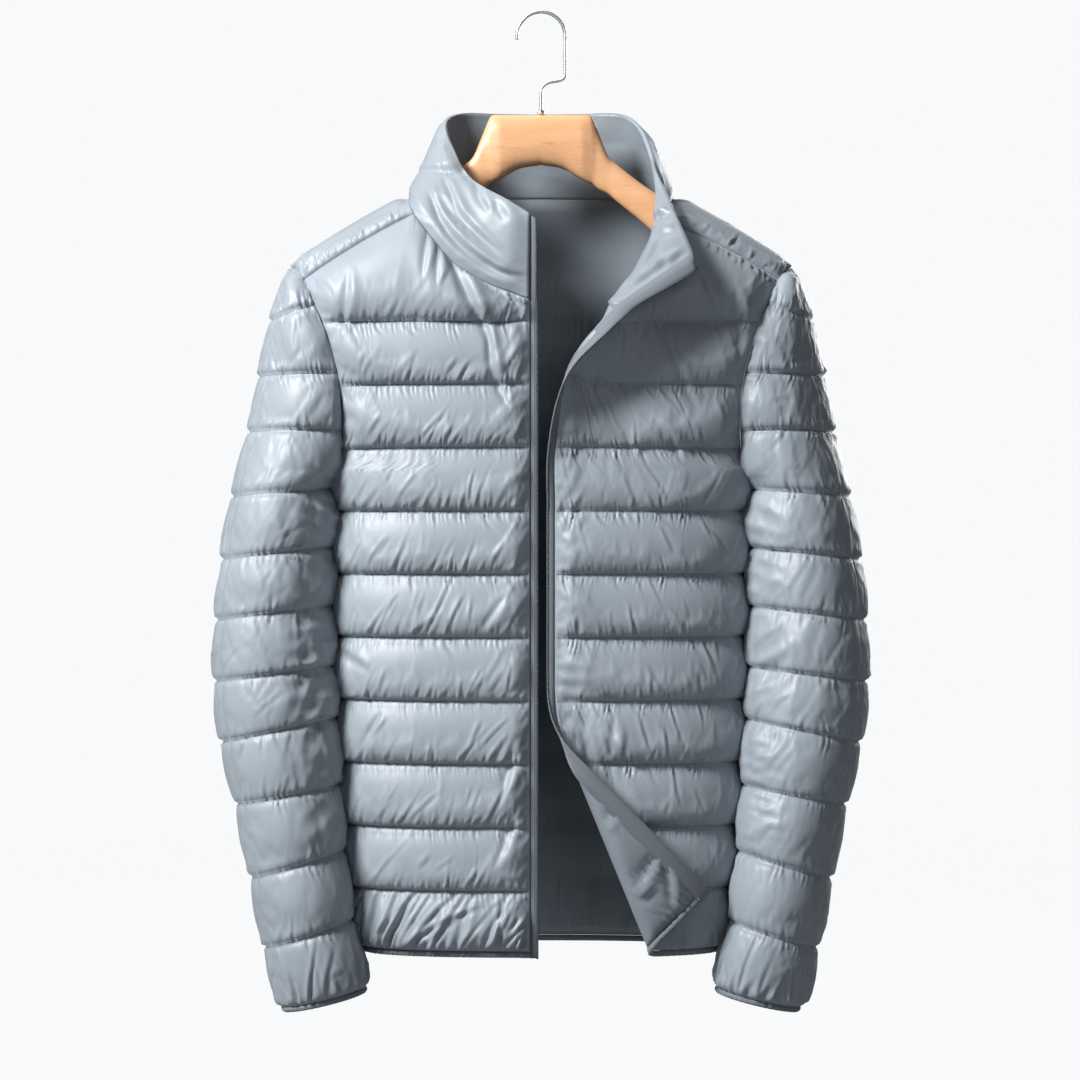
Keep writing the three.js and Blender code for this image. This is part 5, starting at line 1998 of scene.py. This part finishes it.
@dataclass
class Studio:
    """A plain pale room, soft lights and the photograph's viewpoint, in metres."""

    distance: float = 3.0
    eye_height: float = -0.4685
    eye_x: float = -0.0009
    frame_width: float = 1080 * 0.89 * MM
    wall_y: float = 4.6
    floor_z: float = -1.15
    floor_half: float = 6.0
    bend_radius: float = 0.5
    glow: float = 1.05
    sensor_mm: float = 36.0
    lights: tuple[Softbox, ...] = (
        Softbox("key", (-1.95, -1.5, 1.3), 0.85, 165),
        Softbox("fill", (0.9, -2.9, 0.4), 1.4, 10, "#f2f5ff"),
        Softbox("rim", (-0.3, 0.45, 1.3), 0.9, 8),
        Softbox("back", (1.5, 2.4, 0.3), 1.2, 45),
    )

    def build(self) -> None:
        """Makes the backdrop, the lights, the room's own light and the camera."""
        self.backdrop()
        for light in self.lights:
            light.build()
        self.room()
        self.camera()

    def room(self) -> None:
        """Lights the jacket dimly from all round, and looks pale where the paper ends."""
        world = bpy.data.worlds.new("soft_room")
        world.use_nodes = True
        sky = world.node_tree.nodes["Background"]
        sky.inputs[0].default_value = linear("#f4f6f8")
        seen = add_node(world.node_tree, "ShaderNodeLightPath").outputs["Is Camera Ray"]
        power = add_node(
            world.node_tree, "ShaderNodeMath", {1: 0.9, 2: 0.07}, {0: seen}, operation="MULTIPLY_ADD")
        world.node_tree.links.new(power.outputs[0], sky.inputs[1])
        bpy.context.scene.world = world

    def camera(self) -> None:
        """Sets the camera straight in front, at the photograph's distance and height."""
        data = bpy.data.cameras.new("camera")
        data.sensor_width = self.sensor_mm
        data.lens = self.sensor_mm * self.distance / self.frame_width
        camera = bpy.data.objects.new("camera", data)
        camera.location = (self.eye_x, -self.distance, self.eye_height)
        camera.rotation_euler = (math.pi / 2, 0, 0)
        bpy.context.scene.collection.objects.link(camera)
        bpy.context.scene.camera = camera
        bpy.context.scene.view_settings.view_transform = "Standard"

    def backdrop(self) -> None:
        """A floor that curves up into a wall."""
        r, half = self.bend_radius, self.floor_half
        bend = [(self.wall_y - r + r * math.sin(t), self.floor_z + r - r * math.cos(t))
                for t in np.linspace(0, math.pi / 2, 12)]
        line = [(-half, self.floor_z), *bend, (self.wall_y, half / 2)]
        points = np.array([(x, y, z) for y, z in line for x in (-half, half)]) / MM
        faces = [(2 * i, 2 * i + 1, 2 * i + 3, 2 * i + 2) for i in range(len(line) - 1)]
        mesh_object("paper_sweep", points, faces, [self.paper()])

    def paper(self) -> Material:
        """Lit white paper, which keeps the room pale behind a softly lit jacket."""
        m = new_material("lit_white_paper")
        t = m.node_tree
        matte = add_node(t, "ShaderNodeBsdfDiffuse", {"Color": linear("#7e8082")})
        glow = add_node(t, "ShaderNodeEmission", {"Color": linear("#f6f7f8"), "Strength": self.glow})
        seen = add_node(t, "ShaderNodeLightPath").outputs["Is Camera Ray"]
        part = add_node(t, "ShaderNodeMath", {1: 0.97}, {0: seen}, operation="MULTIPLY")
        both = add_node(
            t, "ShaderNodeMixShader",
            links={0: part.outputs[0], 1: matte.outputs["BSDF"], 2: glow.outputs["Emission"]})
        add_node(t, "ShaderNodeOutputMaterial", links={"Surface": both.outputs["Shader"]})
        return m


# Stitches are about twice their real thickness, so that they show from here. The collar and the
# shoulder pieces have no quilting.
STITCH = {"Pitch": 3.2 * MM, "Length": 2.5 * MM, "Width": 0.7 * MM, "Height": 0.6 * MM, "Shake": 0.1}
STITCH_PROUD = 0.15
MOST_UNSTITCHED_ROWS = 3

# Main creases, by points of x, z, then depth and width
FRONT_RIGHT_FOLDS = (
    Fold(((-93, -196), (-74, -236), (-56, -268), (-43, -304)), 4.6, 3.6),
    Fold(((-76, -218), (-46, -246), (-14, -266)), 3.6, 3.2),
    Fold(((-46, -280), (-42, -322), (-27, -356)), 3.2, 3.2),
    Fold(((-100, -192), (-100, -218), (-101, -240)), 2.0, 2.6),
    Fold(((-91, -198), (-90, -226), (-88, -250)), 1.8, 2.4),
    Fold(((-165, -232), (-168, -262), (-178, -292)), 1.8, 3.0),
    Fold(((-30, -196), (-22, -260), (-14, -292)), 1.6, 4.0),
    Fold(((-137, -618), (-148, -642), (-152, -662)), 2.2, 2.6),
    Fold(((-108, -528), (-112, -548)), 1.4, 2.4),
    Fold(((-30, -516), (-52, -546)), 2.0, 3.0),
    Fold(((-22, -640), (-36, -700)), 2.4, 3.6),
    Fold(((-20, -700), (-40, -752)), 2.4, 3.4),
    Fold(((-176, -560), (-160, -574), (-146, -582)), 1.8, 3.2),
    Fold(((-18, -796), (-34, -822)), 2.8, 3.0),
    Fold(((-34, -780), (-52, -826)), 3.0, 3.0),
    Fold(((-60, -778), (-78, -824)), 3.0, 3.2),
    Fold(((-86, -786), (-102, -826)), 2.6, 3.0),
    Fold(((-116, -782), (-124, -826)), 2.4, 3.2),
    Fold(((-142, -780), (-140, -822)), 2.0, 3.0),
)
FRONT_LEFT_FOLDS = (
    Fold(((112, -304), (122, -330), (134, -352)), 2.0, 3.0),
    Fold(((96, -362), (112, -384), (122, -398)), 2.2, 3.2),
    Fold(((72, -372), (80, -396)), 1.6, 3.0),
    Fold(((56, -640), (72, -662), (80, -672)), 2.2, 3.6),
    Fold(((36, -628), (42, -660), (52, -680)), 2.6, 3.6),
    Fold(((62, -622), (60, -656)), 1.6, 3.0),
    Fold(((165, -250), (172, -284), (170, -312)), 2.2, 3.4),
)
FLAP_FOLDS = (
    Fold(((64, -703), (57, -711), (50, -720)), 2.2, 2.4),
    Fold(((102, -737), (90, -757), (78, -777)), 3.2, 2.8),
    Fold(((103, -740), (110, -762), (112, -790)), 2.6, 3.0),
    Fold(((66, -706), (82, -724), (98, -738)), 1.8, 2.2),
    Fold(((76, -777), (90, -780), (104, -768)), 1.8, 3.0),
    Fold(((118, -800), (104, -812), (92, -816)), 2.0, 3.0),
    Fold(((122, -790), (112, -806), (98, -822)), 2.0, 2.6),
)
LAPEL_FOLDS = (
    Fold(((95, -189), (108, -185), (125, -189)), 2.2, 2.6),
    Fold(((96, -200), (110, -202), (127, -198)), 1.4, 2.8),
    Fold(((64, -258), (84, -247), (104, -233), (122, -222)), 2.4, 2.8),
    Fold(((82, -242), (95, -226), (104, -206)), 1.9, 3.0),
    Fold(((108, -236), (121, -224), (131, -213)), 1.6, 2.4),
    Fold(((58, -258), (52, -267), (46, -277)), 1.6, 2.2),
)
FRONT_LEFT_CRUMPLES = (
    Crumple((28, -600), (16, 70), 2.0, 14.0, 8),
    Crumple((24, -440), (12, 60), 1.6, 12.0, 9),
)
BACK_FOLDS = (
    Fold(((-60, -190), (-96, -228), (-130, -250)), 2.4, 4.5),
    Fold(((60, -190), (92, -226), (134, -256)), 2.4, 4.5),
    Fold(((-150, -420), (-118, -440), (-92, -446)), 2.2, 4.0),
    Fold(((152, -430), (120, -452), (96, -460)), 2.2, 4.0),
    Fold(((-40, -560), (-28, -590)), 1.8, 3.4),
    Fold(((72, -670), (90, -704)), 2.0, 3.4),
    Fold(((-120, -780), (-110, -824)), 2.4, 3.4),
    Fold(((-40, -784), (-30, -826)), 2.4, 3.4),
    Fold(((40, -782), (50, -826)), 2.4, 3.4),
    Fold(((110, -780), (122, -824)), 2.4, 3.4),
)
COLLAR_FOLDS = (
    Fold(((-100, -158), (-84, -196), (-50, -228), (-14, -246)), 3.2, 3.2),
    Fold(((-86, -150), (-66, -190), (-34, -220)), 2.4, 3.0),
    Fold(((-60, -216), (-38, -234), (-12, -240)), 2.2, 2.6),
    Fold(((-104, -144), (-78, -148), (-56, -143)), 3.0, 3.6),
    Fold(((-54, -148), (-52, -168), (-42, -184)), 2.4, 3.4),
    Fold(((-40, -172), (-27, -190)), 1.8, 3.4),
    Fold(((-92, -168), (-78, -184), (-66, -194)), 2.2, 4.0),
    Fold(((62, -148), (84, -146), (98, -140)), 2.4, 3.4),
    Fold(((72, -186), (90, -192), (104, -190)), 1.6, 3.4),
    Fold(((70, -214), (80, -232), (102, -206)), 2.0, 3.4),
)


def elbow_crumples(side: Side) -> tuple[Crumple, ...]:
    """Pinched patches inside the elbow and at the wrist.

    Args:
        side: the sleeve's side.

    Returns:
        The patches.
    """
    s = side.value
    return (
        Crumple((s * 200, -466), (15, 58), 3.8, 17.0, 31 + s),
        Crumple((s * 204, -590), (15, 68), 4.0, 18.0, 41 + s),
        Crumple((s * 198, -690), (12, 50), 3.0, 15.0, 51 + s),
    )


def cloth_pieces() -> dict[str, QuiltPiece]:
    """Every quilted piece, not yet built.

    Returns:
        The pieces by name.
    """
    pieces = [
        FrontPanel(
            "front_right", -1, 11, outer_columns=168, last_taper=27.0, to_viewer_right=-1.0, side=Side.RIGHT,
            creases=Creases(
                seed=21, above=13, below=5.5, angle_above=60, angle_below=62, gather=1.0, drag_angle=62,
                drag_count=7, folds=FRONT_RIGHT_FOLDS)),
        FrontPanel(
            "front_left", 1, 11, outer_columns=168, last_taper=27.0, side=Side.LEFT, lining_puff=2.2,
            lining_folds=FLAP_FOLDS + LAPEL_FOLDS,
            creases=Creases(
                seed=33, above=6, below=11, angle_above=95, angle_below=62, gather=0.6, drag_angle=112,
                drag_count=5, folds=FRONT_LEFT_FOLDS, crumples=FRONT_LEFT_CRUMPLES)),
        BackPanel(
            "back", -1, 12, outer_columns=220, creases=Creases(
                seed=45, above=9, below=7, angle_above=75, angle_below=70, gather=0.7, folds=BACK_FOLDS)),
        StandCollar(
            "collar", -1, 3, crown=5.0, swell=0.02, cap=2.0, settled=0.3, quilted=False,
            lining_folds=LAPEL_FOLDS, lining_puff=0.5, plain_top=0.1, outer_columns=260, steps=16,
            creases=Creases(seed=57, pucker_height=0.0, height=0.0, drag_height=0.6, folds=COLLAR_FOLDS)),
    ]
    for side in Side:
        label = side.name.lower()
        pieces.append(ShoulderPiece(
            f"shoulder_{label}", side.value, 1, crown=7.0, outer_columns=80, steps=40,
            to_viewer_right=float(side.value), creases=Creases(seed=60 + side.value), side=side))
        for face, columns in ((Face.FRONT, 80), (Face.BACK, 110)):
            pieces.append(SleevePiece(
                f"sleeve_{face.name.lower()}_{label}", side.value, 12, crown=7.8, fullness=0.52,
                outer_columns=columns, steps=20, to_viewer_right=float(side.value), side=side, face=face,
                creases=Creases(
                    seed=70 + 3 * side.value + face.value, above=7.5, below=6, angle_above=86,
                    angle_below=84, gather=0.7, drag_count=2,
                    crumples=elbow_crumples(side) if face is Face.FRONT else ())))
    return {piece.name: piece for piece in pieces}


def seam_lines(piece: QuiltPiece) -> list[np.ndarray]:
    """Stitch lines of a piece's quilting, just proud of the cloth.

    Args:
        piece: the quilted piece.

    Returns:
        One polyline for each seam.
    """
    outer = piece.outer() + piece.normal * STITCH_PROUD
    return [outer[int(np.argmin(np.abs(piece.g - row))), 2:-2:2] for row in range(1, piece.rows)]


def main() -> None:
    """Builds the jacket, its hanger and the studio."""
    logging.basicConfig(level=logging.INFO, format="%(message)s")
    shell = NylonFinish().build()
    lining = NylonFinish("nylon_lining", "#8b949c", "#767f87", 0.4, 0.1, crinkle=0.3).build()
    tape = KnitFinish("woven_zip_tape", "#757d85", 1.6, depth=0.35).build()
    elastic = KnitFinish("knitted_elastic", "#7b848c", 1.8).build()
    coil = PlainFinish("moulded_coil_nylon", "#4d565e", 0.35).build()
    thread = PlainFinish("polyester_thread", "#7c858d", 0.55).build()
    pieces = cloth_pieces()
    for piece in pieces.values():
        piece.build(shell, lining, simulate=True)
    share_seams(list(pieces.values()))
    for piece in pieces.values():
        piece.wall()
    right, left, back = pieces["front_right"], pieces["front_left"], pieces["back"]
    hem = [right.edge("bottom"), tuple(a[1:] for a in back.edge("bottom")),
           tuple(a[::-1][1:] for a in left.edge("bottom"))]
    Binding("hem_binding").build(*(np.vstack(s) for s in zip(*hem)), False, elastic)
    for side in Side:
        label = side.name.lower()
        parts = [
            tuple(a[1:-1] for a in pieces[f"sleeve_{face.name.lower()}_{label}"].edge("bottom"))
            for face in Face]
        Binding(f"cuff_binding_{label}", height=4.8, outside=2.4, gather_mm=6.0).build(
            *(np.vstack(s) for s in zip(*parts)), True, elastic)
    teeth = TrimTree("coil_teeth", coil)
    ZipHalf(Side.RIGHT).build(right, pieces["collar"], tape, teeth)
    ZipHalf(Side.LEFT).build(left, pieces["collar"], tape, teeth)
    stitch = TrimTree("lock_stitches", thread)
    for piece in pieces.values():
        if piece.rows > MOST_UNSTITCHED_ROWS:
            stitch.along(f"stitching_{piece.name}", seam_lines(piece), STITCH, Slot.SHELL)
    hanger = Hanger()
    hanger.build_wood(BeechFinish().build())
    hanger.build_hook(PlainFinish("nickel_plated_wire", "#eceef0", 0.34, 1.0).build())
    Studio().build()


if __name__ == "__main__":
    main()
    bpy.context.view_layer.update()
    LOG.info("all pieces: %d triangles", sum(
        len(face.vertices) - 2 for mesh in bpy.data.meshes if mesh.users for face in mesh.polygons))
